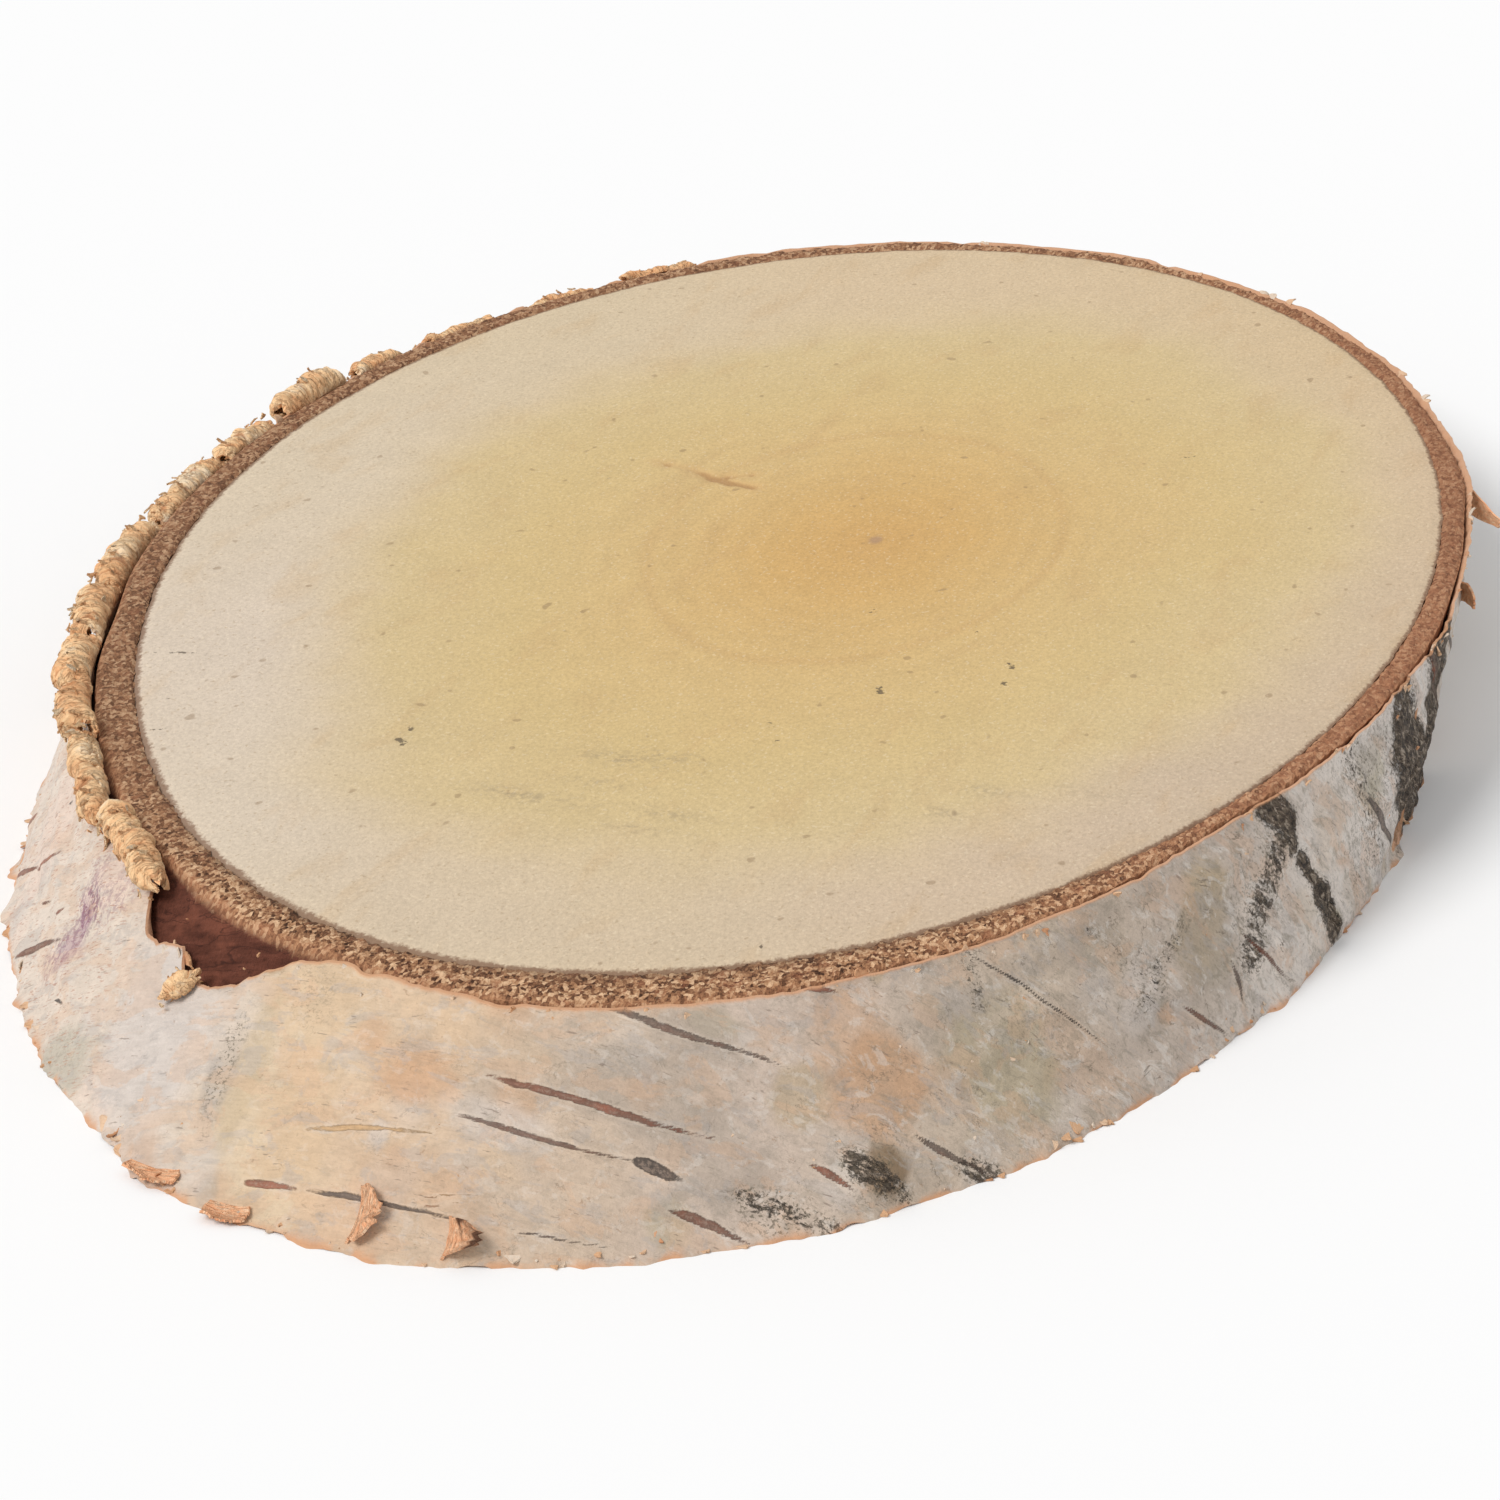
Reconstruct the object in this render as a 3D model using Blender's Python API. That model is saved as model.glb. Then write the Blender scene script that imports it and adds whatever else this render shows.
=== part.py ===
"""An oval slice sawn at a slant from a birch trunk, lying flat: the wood, the brown inner bark round it, and the
white papery outer bark with its torn place, rolled edges and flakes.

Metres, +Z up. The origin is the middle of the slice's box, on the surface that it lies on. +X is the way the trunk
leaned as it went up, so the faces are long in X. Sizes below are millimetres and degrees.

A place on the trunk is given by its angle round the trunk (0 is on the overhanging +X side, 90 is towards +Y), its
distance from the trunk's middle line, and its height over the surface.
"""

import math
import random

import bmesh
import bpy
from mathutils import Vector

MM = 0.001

# Driving dimensions
WOOD_RADIUS = 70.0  # mean, across the trunk
TILT = math.radians(51.7)  # how far the trunk leans from upright
THICKNESS = 17.5
PAPER = 0.65  # outer bark
GAP = 0.3  # between the layers
AXIS = (1.45, -1.7)  # where the trunk's middle line is at half height, x and y

# What makes the trunk less than round: number of waves round it, their height, and the angle of a crest
WOOD_LOBES = ((2, 3.5, 46.8), (3, 0.7, -44.2), (4, 0.2, -8.6))

# Thickness of both barks together, at angles round the trunk, along the top and along the foot
TOP_BARK = (
    (20, 2.4), (45, 3.0), (80, 3.7), (130, 4.1), (177, 3.7), (202, 4.8), (217, 4.4),
    (240, 2.6), (255, 3.1), (275, 3.4), (300, 3.2), (330, 2.4), (355, 2.0),
)
FOOT_BARK = (
    (0, 3.0), (60, 3.3), (118, 3.1), (145, 2.7), (185, 2.8), (208, 2.8), (220, 4.1), (250, 4.6), (280, 4.1),
    (320, 3.4),
)

# Soft unevenness of the bark: waves round the trunk, waves up the wall, height and phase
UNEVEN = ((11, 0.8, 0.16, 0.4), (17, -1.1, 0.12, 2.1), (29, 1.7, 0.08, 5.0))

# Swellings where the bark is rough and dark: angle, height, half width in degrees, half height and rise
SWELLINGS = (
    (219, 2.5, 3.0, 3.0, 0.5),
    (248, 14.0, 2.0, 3.0, 0.4),
    (254, 7.0, 2.5, 5.0, 0.5),
    (266, 9.0, 5.0, 7.0, 0.8),
    (18, 9.0, 5.0, 6.0, 0.6),
    (318, 6.0, 4.0, 6.0, 0.6),
)

# The torn place that shows the inner bark: angle and height of the points along its lower edge
TEAR = (
    (155.0, 17.5), (155.9, 15.1), (157.9, 13.3), (159.9, 13.5), (162.4, 14.1), (163.0, 13.2), (164.4, 12.4),
    (166.1, 12.5), (168.2, 13.6), (170.6, 15.0), (174.2, 16.9), (178.0, 17.5),
)

# Rolled edges of the paper: the ends of the line that each is rooted along, as (angle, height), and its radius.
# All but the last follow the rim, and the last lies at the bottom of the torn place.
ROLLS = (
    ((41.5, 16.9), (47.5, 17.0), 1.5),
    ((50.5, 16.5), (56.0, 16.5), 1.5),
    ((59.0, 16.5), (65.5, 16.4), 1.6),
    ((68.0, 16.5), (73.0, 17.0), 1.5),
    ((74.5, 17.0), (81.0, 17.2), 2.0),
    ((82.5, 16.8), (88.0, 16.6), 1.7),
    ((88.8, 16.2), (97.5, 15.8), 1.9),
    ((98.5, 15.8), (108.5, 15.8), 2.0),
    ((109.4, 15.9), (117.5, 16.2), 2.1),
    ((118.6, 16.4), (126.0, 16.8), 2.0),
    ((126.8, 17.0), (134.5, 17.3), 2.0),
    ((135.4, 17.2), (145.8, 15.6), 1.9),
    ((147.4, 17.1), (157.6, 16.1), 1.9),
    ((163.2, 10.4), (165.6, 12.6), 1.5),
)

# Tongues that stand off the wall: their path as (angle, height, how far off the wall), width, and whether the
# width runs up the wall rather than round it
TONGUES = (
    (((185.7, 2.5, -0.15), (186.1, 2.5, 0.5), (186.7, 2.5, 1.1), (187.5, 2.5, 1.4)), 5.0, True),
    (((192.6, 1.9, -0.15), (193.0, 1.9, 0.7), (193.8, 1.9, 1.4), (194.8, 1.9, 1.6)), 4.2, True),
    (((175.7, 0.9, 0.0), (175.7, 0.1, 0.5), (175.8, -0.25, 1.0), (175.9, -0.4, 1.35)), 4.8, False),
    (((167.8, 0.9, 0.05), (167.8, 0.3, 0.5), (167.8, 0.1, 0.95), (167.8, 0.0, 1.3)), 6.0, False),
    (((296.0, 15.4, -0.15), (294.6, 15.8, 1.0), (292.8, 16.1, 2.2), (290.6, 16.2, 3.9)), 2.6, True),
    (((281.6, 14.4, -0.15), (281.2, 14.4, 0.7), (280.6, 14.3, 1.3), (279.8, 14.3, 1.6)), 2.4, True),
)

ROUND_STEPS = 180  # sections round the trunk
BARK_LEVELS = 6  # levels up the bark's wall
ROOT_DEPTH = 0.35  # how deep a roll sinks into the paper that it grows from
ROLL_STEP = 2.2  # degrees between a roll's sections
ROLL_POINTS = 9  # points along a roll's spiral
ROLL_TURN = math.radians(330)
ROLL_SHRINK = 0.24  # share of its radius that the spiral loses from its start to its end
ROLL_ENDS = 0.82  # how wide a roll is at its ends, as a share of its middle
ROLL_UNEVEN = 0.07  # how much a roll's radius varies from section to section
TONGUE_WIDTHS = (1.0, 1.0, 0.84, 0.4)  # a tongue's width along its path, as a share of its widest

# Colours as linear red, green, blue, and roughness
FINISHES = {
    "wood": ((0.76, 0.63, 0.42), 0.72),
    "inner_bark": ((0.25, 0.12, 0.08), 0.85),
    "outer_bark": ((0.78, 0.71, 0.64), 0.6),
}


def clear_scene():
    for obj in list(bpy.data.objects):
        bpy.data.objects.remove(obj, do_unlink=True)


def interpolated(points, degrees):
    """The value at this angle on a smooth closed curve through (angle, value) points."""
    degrees = degrees % 360
    last = len(points) - 1
    for i in range(len(points)):
        a0, v0 = points[i]
        a1, v1 = points[i + 1] if i < last else (points[0][0] + 360, points[0][1])
        for turned in (degrees, degrees + 360):
            if a0 <= turned <= a1:
                share = (turned - a0) / (a1 - a0)
                return v0 + (v1 - v0) * share * share * (3 - 2 * share)
    raise ValueError("angles aren't in order")


def wood_radius(degrees):
    lobes = sum(size * math.cos(math.radians(waves * (degrees - crest))) for waves, size, crest in WOOD_LOBES)
    return WOOD_RADIUS + lobes


def outer_radius(degrees, height):
    """Outside of the papery bark."""
    share = height / THICKNESS
    bark = (1 - share) * interpolated(FOOT_BARK, degrees) + share * interpolated(TOP_BARK, degrees)
    angle = math.radians(degrees)
    uneven = sum(size * math.sin(waves * angle + rise * height + phase) for waves, rise, size, phase in UNEVEN)
    for middle, level, half_width, half_height, rise in SWELLINGS:
        off = (degrees - middle + 180) % 360 - 180
        uneven += rise * math.exp(-((off / half_width) ** 2) - ((height - level) / half_height) ** 2)
    return wood_radius(degrees) + bark + uneven


def paper_inside(degrees, height):
    return outer_radius(degrees, height) - PAPER


def inner_bark_outside(degrees, height):
    return paper_inside(degrees, height) - GAP


def place(degrees, radius, height):
    """The point in metres of a place on the leaning trunk."""
    angle = math.radians(degrees)
    x = AXIS[0] + radius * math.cos(angle) / math.cos(TILT) + (height - THICKNESS / 2) * math.tan(TILT)
    y = AXIS[1] + radius * math.sin(angle)
    return Vector((x, y, height)) * MM


def wall_frame(degrees, height):
    """A point of the outer wall, with its unit directions outwards, round the trunk and up the wall."""
    nudge = 0.2
    here = place(degrees, outer_radius(degrees, height), height)
    beside = place(degrees + nudge, outer_radius(degrees + nudge, height), height)
    lower = place(degrees, outer_radius(degrees, height - nudge), height - nudge)
    round_trunk = (beside - here).normalized()
    up_wall = here - lower
    up_wall -= up_wall.dot(round_trunk) * round_trunk
    up_wall.normalize()
    return here, round_trunk.cross(up_wall), round_trunk, up_wall


def solid_of(name, points, faces):
    mesh = bpy.data.meshes.new(name)
    mesh.from_pydata(points, [], faces)
    shaped = bmesh.new()
    shaped.from_mesh(mesh)
    bmesh.ops.recalc_face_normals(shaped, faces=shaped.faces)
    bmesh.ops.triangulate(shaped, faces=shaped.faces)
    shaped.to_mesh(mesh)
    shaped.free()
    obj = bpy.data.objects.new(name, mesh)
    bpy.context.scene.collection.objects.link(obj)
    return obj


def ring_of(name, sections):
    """A closed ring through sections that all have the same number of points."""
    count = len(sections[0])
    total = len(sections)
    points = [point for section in sections for point in section]
    faces = []
    for i in range(total):
        after = (i + 1) % total
        for k in range(count):
            side = (k + 1) % count
            faces.append((i * count + k, after * count + k, after * count + side, i * count + side))
    return solid_of(name, points, faces)


def bar_of(name, sections):
    """A bar through sections that all have the same number of points, closed at both ends."""
    count = len(sections[0])
    points = [point for section in sections for point in section]
    faces = []
    for i in range(len(sections) - 1):
        for k in range(count):
            side = (k + 1) % count
            faces.append((i * count + k, (i + 1) * count + k, (i + 1) * count + side, i * count + side))
    faces.append(tuple(range(count)))
    faces.append(tuple(range(len(points) - count, len(points))))
    return solid_of(name, points, faces)


def angles_round():
    return [360 * i / ROUND_STEPS for i in range(ROUND_STEPS)]


def make_wood():
    outlines = [[place(a, wood_radius(a), height) for a in angles_round()] for height in (0, THICKNESS)]
    return bar_of("wood", outlines)


def bark_ring(name, inside, outside):
    """A layer of bark between two surfaces, from the foot to the top."""
    levels = [THICKNESS * k / (BARK_LEVELS - 1) for k in range(BARK_LEVELS)]
    sections = []
    for a in angles_round():
        up = [place(a, outside(a, height), height) for height in levels]
        down = [place(a, inside(a, height), height) for height in reversed(levels)]
        sections.append(up + down)
    return ring_of(name, sections)


def make_inner_bark():
    return bark_ring("inner_bark", lambda a, height: wood_radius(a) + GAP, inner_bark_outside)


def tear_cutter():
    """A block along the wall whose lower edge is the torn edge of the paper."""
    above, inwards, outwards = 3.0, 2.0, 4.0
    sections = []
    for a, height in TEAR:
        corners = ((-inwards, height), (outwards, height), (outwards, THICKNESS + above), (-inwards, THICKNESS + above))
        surface = outer_radius(a, min(height, THICKNESS))
        sections.append([place(a, surface + out, level) for out, level in corners])
    cutter = bar_of("tear_cutter", sections)
    cutter.hide_render = True
    cutter.display_type = "WIRE"
    return cutter


def roll_of(name, start, end, radius, rng):
    """A spiral strip of paper, rooted in the wall along a line from start to end, each an angle and a height."""
    steps = max(3, round(abs(end[0] - start[0]) / ROLL_STEP))
    line = []
    for i in range(steps + 1):
        share = i / steps
        a = start[0] + (end[0] - start[0]) * share
        height = start[1] + (end[1] - start[1]) * share
        line.append((share, *wall_frame(a, height)[:2]))
    sections = []
    for i, (share, here, outwards) in enumerate(line):
        along = (line[min(i + 1, steps)][1] - line[max(i - 1, 0)][1]).normalized()
        side = outwards.cross(along).normalized()
        full = min(1.0, 4 * min(share, 1 - share))
        width = radius * (ROLL_ENDS + (1 - ROLL_ENDS) * full) * rng.uniform(1 - ROLL_UNEVEN, 1 + ROLL_UNEVEN)
        middle = here + outwards * (width - ROOT_DEPTH) * MM
        turn = ROLL_TURN * rng.uniform(0.92, 1.0)
        outside, inside = [], []
        for k in range(ROLL_POINTS):
            part = k / (ROLL_POINTS - 1)
            spiral = width * (1 - ROLL_SHRINK * part)
            direction = side * math.sin(turn * part) - outwards * math.cos(turn * part)
            outside.append(middle + direction * spiral * MM)
            inside.append(middle + direction * (spiral - PAPER) * MM)
        sections.append(outside + inside[::-1])
    return bar_of(name, sections)


def tongue(name, path, width, up_the_wall):
    """A torn tongue of paper, rooted in the wall and narrower towards its tip."""
    places = []
    for a, height, off in path:
        here, outwards, round_trunk, up_wall = wall_frame(a, height)
        places.append((here + outwards * off * MM, up_wall if up_the_wall else round_trunk))
    sections = []
    for i, (point, across) in enumerate(places):
        before = places[max(0, i - 1)][0]
        after = places[min(len(places) - 1, i + 1)][0]
        along = (after - before).normalized()
        flat = (across - across.dot(along) * along).normalized()
        half = flat * width * TONGUE_WIDTHS[i] * MM / 2
        thick = along.cross(flat) * PAPER * MM / 2
        sections.append([point - half - thick, point + half - thick, point + half + thick, point - half + thick])
    return bar_of(name, sections)


def apply_boolean(obj, operation, tool=None, tools=None):
    cut = obj.modifiers.new(operation.title(), "BOOLEAN")
    cut.operation = operation
    cut.solver = "EXACT"
    if tools is None:
        cut.object = tool
    else:
        cut.operand_type = "COLLECTION"
        cut.collection = tools
    bpy.context.view_layer.objects.active = obj
    bpy.ops.object.modifier_apply(modifier=cut.name)


def make_outer_bark():
    rng = random.Random(7)
    bark = bark_ring("outer_bark", paper_inside, outer_radius)
    cutter = tear_cutter()
    apply_boolean(bark, "DIFFERENCE", tool=cutter)
    bpy.data.objects.remove(cutter, do_unlink=True)
    growth = bpy.data.collections.new("growth")
    bpy.context.scene.collection.children.link(growth)
    for number, (start, end, radius) in enumerate(ROLLS):
        growth.objects.link(roll_of(f"roll_{number}", start, end, radius, rng))
    for number, (path, width, up_the_wall) in enumerate(TONGUES):
        growth.objects.link(tongue(f"tongue_{number}", path, width, up_the_wall))
    apply_boolean(bark, "UNION", tools=growth)
    for obj in list(growth.objects):
        bpy.data.objects.remove(obj, do_unlink=True)
    bpy.data.collections.remove(growth)
    return bark


def finish(obj):
    colour, roughness = FINISHES[obj.name]
    material = bpy.data.materials.new(obj.name)
    material.use_nodes = True
    shader = material.node_tree.nodes["Principled BSDF"]
    shader.inputs["Base Color"].default_value = (*colour, 1.0)
    shader.inputs["Roughness"].default_value = roughness
    shader.inputs["Metallic"].default_value = 0.0
    obj.data.materials.clear()
    obj.data.materials.append(material)
    obj.data.shade_smooth()
    obj.data.set_sharp_from_angle(angle=math.radians(40))


clear_scene()
for node in (make_wood(), make_inner_bark(), make_outer_bark()):
    finish(node)
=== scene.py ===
"""The looks of an oval slice sawn at a slant from a birch trunk: the pale wood with its rings, the granular
brown inner bark round it, and the white papery outer bark with its torn place, lenticels, stains, rolled
edges and flakes.

Sizes are millimetres and degrees. A place on the trunk is given by its angle round the trunk (0 is on the
overhanging +X side, 90 is towards +Y), its distance from the trunk's middle line, and its height over the
surface that the slice lies on. The middle line leans towards +X as it goes up.
"""

import math

import bpy
import numpy as np
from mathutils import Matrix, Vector


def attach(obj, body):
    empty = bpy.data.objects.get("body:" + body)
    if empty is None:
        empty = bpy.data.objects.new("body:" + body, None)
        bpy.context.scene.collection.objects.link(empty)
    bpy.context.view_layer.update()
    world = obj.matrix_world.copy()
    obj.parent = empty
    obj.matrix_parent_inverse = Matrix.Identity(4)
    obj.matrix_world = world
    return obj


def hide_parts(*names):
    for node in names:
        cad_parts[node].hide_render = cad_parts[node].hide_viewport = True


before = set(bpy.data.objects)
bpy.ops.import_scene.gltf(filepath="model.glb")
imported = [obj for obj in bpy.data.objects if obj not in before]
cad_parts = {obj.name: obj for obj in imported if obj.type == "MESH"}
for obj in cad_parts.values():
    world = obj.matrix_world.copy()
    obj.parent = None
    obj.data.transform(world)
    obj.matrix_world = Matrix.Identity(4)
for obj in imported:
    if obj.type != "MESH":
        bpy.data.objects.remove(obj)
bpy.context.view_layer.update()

MM = 0.001

# The trunk, as in the solids
WOOD_RADIUS = 70.0
WALL_RADIUS = WOOD_RADIUS + 3.5  # where the marks on the wall are laid out
FRONT_PATCHES = 150
EDGE_FLAKES = 420  # along the rim and the foot
WALL_FLAKES = 160
TILT = math.radians(51.7)
THICKNESS = 17.5
PAPER = 0.65
GAP = 0.3
AXIS = (1.45, -1.7)
WOOD_LOBES = ((2, 3.5, 46.8), (3, 0.7, -44.2), (4, 0.2, -8.6))
TOP_BARK = (
    (20, 2.4), (45, 3), (80, 3.7), (130, 4.1), (177, 3.7), (202, 4.8), (217, 4.4),
    (240, 2.6), (255, 3.1), (275, 3.4), (300, 3.2), (330, 2.4), (355, 2),
)
FOOT_BARK = (
    (0, 3), (60, 3.3), (118, 3.1), (145, 2.7), (185, 2.8), (208, 2.8), (220, 4.1), (250, 4.6), (280, 4.1),
    (320, 3.4),
)
UNEVEN = ((11, 0.8, 0.16, 0.4), (17, -1.1, 0.12, 2.1), (29, 1.7, 0.08, 5))
SWELLINGS = (
    (219, 2.5, 3, 3, 0.5),
    (248, 14, 2, 3, 0.4),
    (254, 7, 2.5, 5, 0.5),
    (266, 9, 5, 7, 0.8),
    (18, 9, 5, 6, 0.6),
    (318, 6, 4, 6, 0.6),
)
TEAR = (
    (155, 17.5), (155.9, 15.1), (157.9, 13.3), (159.9, 13.5), (162.4, 14.1), (163, 13.2), (164.4, 12.4),
    (166.1, 12.5), (168.2, 13.6), (170.6, 15), (174.2, 16.9), (178, 17.5),
)
ROLLS = (
    ((41.5, 16.9), (47.5, 17), 1.5),
    ((50.5, 16.5), (56, 16.5), 1.5),
    ((59, 16.5), (65.5, 16.4), 1.6),
    ((68, 16.5), (73, 17), 1.5),
    ((74.5, 17), (81, 17.2), 2),
    ((82.5, 16.8), (88, 16.6), 1.7),
    ((88.8, 16.2), (97.5, 15.8), 1.9),
    ((98.5, 15.8), (108.5, 15.8), 2),
    ((109.4, 15.9), (117.5, 16.2), 2.1),
    ((118.6, 16.4), (126, 16.8), 2),
    ((126.8, 17), (134.5, 17.3), 2),
    ((135.4, 17.2), (145.8, 15.6), 1.9),
    ((147.4, 17.1), (157.6, 16.1), 1.9),
    ((163.2, 10.4), (165.6, 12.6), 1.5),
)
TONGUES = (
    (((185.7, 2.5, -0.15), (186.1, 2.5, 0.5), (186.7, 2.5, 1.1), (187.5, 2.5, 1.4)), 5, True),
    (((192.6, 1.9, -0.15), (193, 1.9, 0.7), (193.8, 1.9, 1.4), (194.8, 1.9, 1.6)), 4.2, True),
    (((175.7, 0.9, 0), (175.7, 0.1, 0.5), (175.8, -0.25, 1), (175.9, -0.4, 1.35)), 4.8, False),
    (((167.8, 0.9, 0.05), (167.8, 0.3, 0.5), (167.8, 0.1, 0.95), (167.8, 0, 1.3)), 6, False),
    (((296, 15.4, -0.15), (294.6, 15.8, 1), (292.8, 16.1, 2.2), (290.6, 16.2, 3.9)), 2.6, True),
    (((281.6, 14.4, -0.15), (281.2, 14.4, 0.7), (280.6, 14.3, 1.3), (279.8, 14.3, 1.6)), 2.4, True),
)
TONGUE_WIDTHS = (1, 1, 0.84, 0.4)

# The pith and the marks on the sawn face, as x and y from the trunk's middle line at the top
PITH = (3.2, -6.7)
CHECK = ((18.4, 25.9), (17.7, 21.8), (15.2, 17), (14.4, 12.4))
CHECK_BRANCH = ((15.6, 18), (18.3, 14.2))
SPECKS = (
    # x and y of the two ends, half width
    (-69.4, 19.4, -68.6, 19.6, 0.62),
    (-65.7, 20, -65.3, 20.2, 0.42),
    (-17.4, -13.5, -17, -13.3, 0.42),
    (-20.6, -23, -19.4, -26.2, 0.16),
    (-27.5, -32.9, -26.9, -32.5, 0.4),
    (-32.5, -33.7, -31.9, -33.5, 0.36),
    (-38.7, -22.1, -38.1, -21.9, 0.52),
    (-51.9, -14.7, -51.5, -14.5, 0.4),
    (-50.6, -16.7, -50.2, -16.5, 0.3),
    (-55.3, -16.7, -54.9, -16.5, 0.28),
    (-56.4, 53.8, -54.9, 50, 0.26),
    (-67.2, 47.4, -66.7, 46.4, 0.24),
    (-75.5, 44.3, -75.1, 43.8, 0.36),
    (-101.9, -32.8, -101.4, -32.6, 0.38),
    (42, -31.5, 43.4, -33, 0.22),
    (-30, 44, -29, 43.4, 0.24),
    (61, 12, 62, 11.5, 0.22),
)
SMUDGES = (
    # x, y, half length, half width, strength
    (-65.2, -3.4, 5, 1.6, 0.5),
    (-62.7, -7.8, 3.5, 1.2, 0.5),
    (-77.2, 2.3, 6.5, 1.4, 0.5),
    (-71.6, -3.2, 4, 1.2, 0.4),
    (-76.3, -13.2, 5, 1.2, 0.4),
    (-80.7, -11.3, 4, 1, 0.4),
    (-59.5, -41, 4, 1.2, 0.4),
    (-56.1, -50.6, 4, 1.2, 0.3),
    (-66.2, -38.2, 3.5, 1.2, 0.4),
    (-73.8, -49.7, 3.5, 1, 0.3),
)
ZONE_EDGE = (
    # angle round the pith and the share of the way out at which the straw-coloured middle ends
    (27, 0.76), (51, 0.73), (95, 0.76), (124, 0.77), (149, 0.84), (183, 0.84), (212, 0.83), (260, 0.85),
    (288, 0.93), (309, 0.93), (335, 0.84),
)

# Lenticels: angle and height of both ends, half width, and its colour from 0, red brown, to 1, grey black
LENTICELS = (
    (176.3, 2.6, 180.2, 3.3, 0.55, 0.15),
    (181.6, 3.5, 193.2, 3.1, 0.4, 0.75),
    (190.2, 9.8, 203.4, 6.8, 0.42, 0.45),
    (203.6, 6.7, 205.9, 5.6, 0.95, 0.95),
    (191.7, 12.6, 207.7, 7.7, 0.52, 0.25),
    (198, 17.6, 210.9, 12.2, 0.45, 0.55),
    (208.2, 18.3, 212.4, 16.8, 0.6, 0.15),
    (206.6, 3.1, 212, 0.4, 0.6, 0.35),
    (196.6, 2.7, 203.3, 1.1, 0.25, 0.6),
    (215, 4.7, 217.6, 3, 0.55, 0.2),
    (221.2, 5.1, 228.2, -0.3, 0.45, 0.6),
    (220.2, 17.6, 235, 5.1, 0.3, 0.85),
    (241.1, 5, 246.1, 0.8, 0.45, 0.4),
    (245, 8.3, 252.3, 1.1, 0.45, 0.3),
    (122, 0.6, 130.5, 5.6, 0.45, 0.2),
    (130, 5.2, 136.6, 9.8, 0.4, 0.1),
    (134.2, 0.8, 143.4, 6.6, 0.55, 0.35),
    (119, 3, 121.6, 5, 0.7, 0.15),
    (140.8, 7.2, 142, 8.2, 0.3, 0.1),
    (136.4, 5.9, 138.4, 7, 0.25, 0.3),
    (146.2, 3.4, 148.2, 4.2, 0.28, 0.95),
    (150.6, -0.2, 153, 0.4, 0.2, 0.8),
    (133.3, 11.6, 134.4, 12.4, 0.3, 1),
    (179.9, 7, 188.8, 8.4, 0.34, -0.8),
    (244.4, 6.6, 247.2, 2.2, 0.4, 0.6),
    (189, 4.2, 193.6, 4.8, 0.12, -0.1),
    (189.6, 3.7, 192.4, 4.2, 0.1, -0.1),
)

# Stains: angle, height, half length round the trunk, half height along the trunk, colour name, strength
STAINS = (
    (146.9, 10.2, 2.2, 4.6, "purple", 0.55),
    (147.2, 10.6, 0.8, 2.2, "magenta", 0.55),
    (145.8, 7, 3.6, 3, "purple", 0.42),
    (152, 1.4, 7, 5, "grey_green", 0.55),
    (162.5, 8, 8.5, 11, "blue_white", 0.85),
    (176.5, 15.5, 6.5, 7, "cream", 0.65),
    (173.2, 9, 2.4, 12, "khaki", 0.38),
    (170.9, 7.8, 1.9, 6, "grey", 0.5),
    (178.5, 7.5, 5, 12, "cream", 0.85),
    (186, 12, 5.5, 4, "peach", 0.55),
    (190, 15, 9, 3, "cream", 0.55),
    (196, 13.5, 9, 5, "grey", 0.3),
    (190, 4.5, 8, 4, "peach", 0.25),
    (203.5, 11, 9, 6, "grey", 0.55),
    (204.5, 15.2, 6, 4, "grey", 0.6),
    (194, 9.5, 7, 3, "blue_white", 0.55),
    (208.5, 6, 7, 6, "grey", 0.5),
    (214, 14, 6, 5, "peach", 0.45),
    (217.5, 9.6, 5.2, 6, "peach", 0.7),
    (219.9, 3.1, 3, 3.6, "brown", 0.85),
    (221.5, 12.5, 8, 5, "grey", 0.5),
    (226.5, 7.5, 7, 8, "olive", 0.55),
    (240.4, 11, 4, 8, "khaki", 0.65),
    (231, 13, 5, 5, "grey", 0.55),
    (242, 8, 7, 7, "grey", 0.6),
    (253.4, 11.2, 3.8, 6, "white", 0.7),
    (257.6, 15.2, 2.6, 4, "blue_white", 0.6),
    (250.6, 6.5, 2.2, 4, "blue_white", 0.5),
    (259.1, 4.4, 3, 3.5, "blue_white", 0.45),
    (236.2, 8.6, 3, 5, "blue_white", 0.6),
    (232, 10.4, 3, 4, "blue_white", 0.4),
    (262, 13.5, 7, 4, "blue_white", 0.5),
    (131, 8, 8, 9, "pink", 0.7),
    (149, 13, 6, 4, "pink", 0.8),
)

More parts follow.
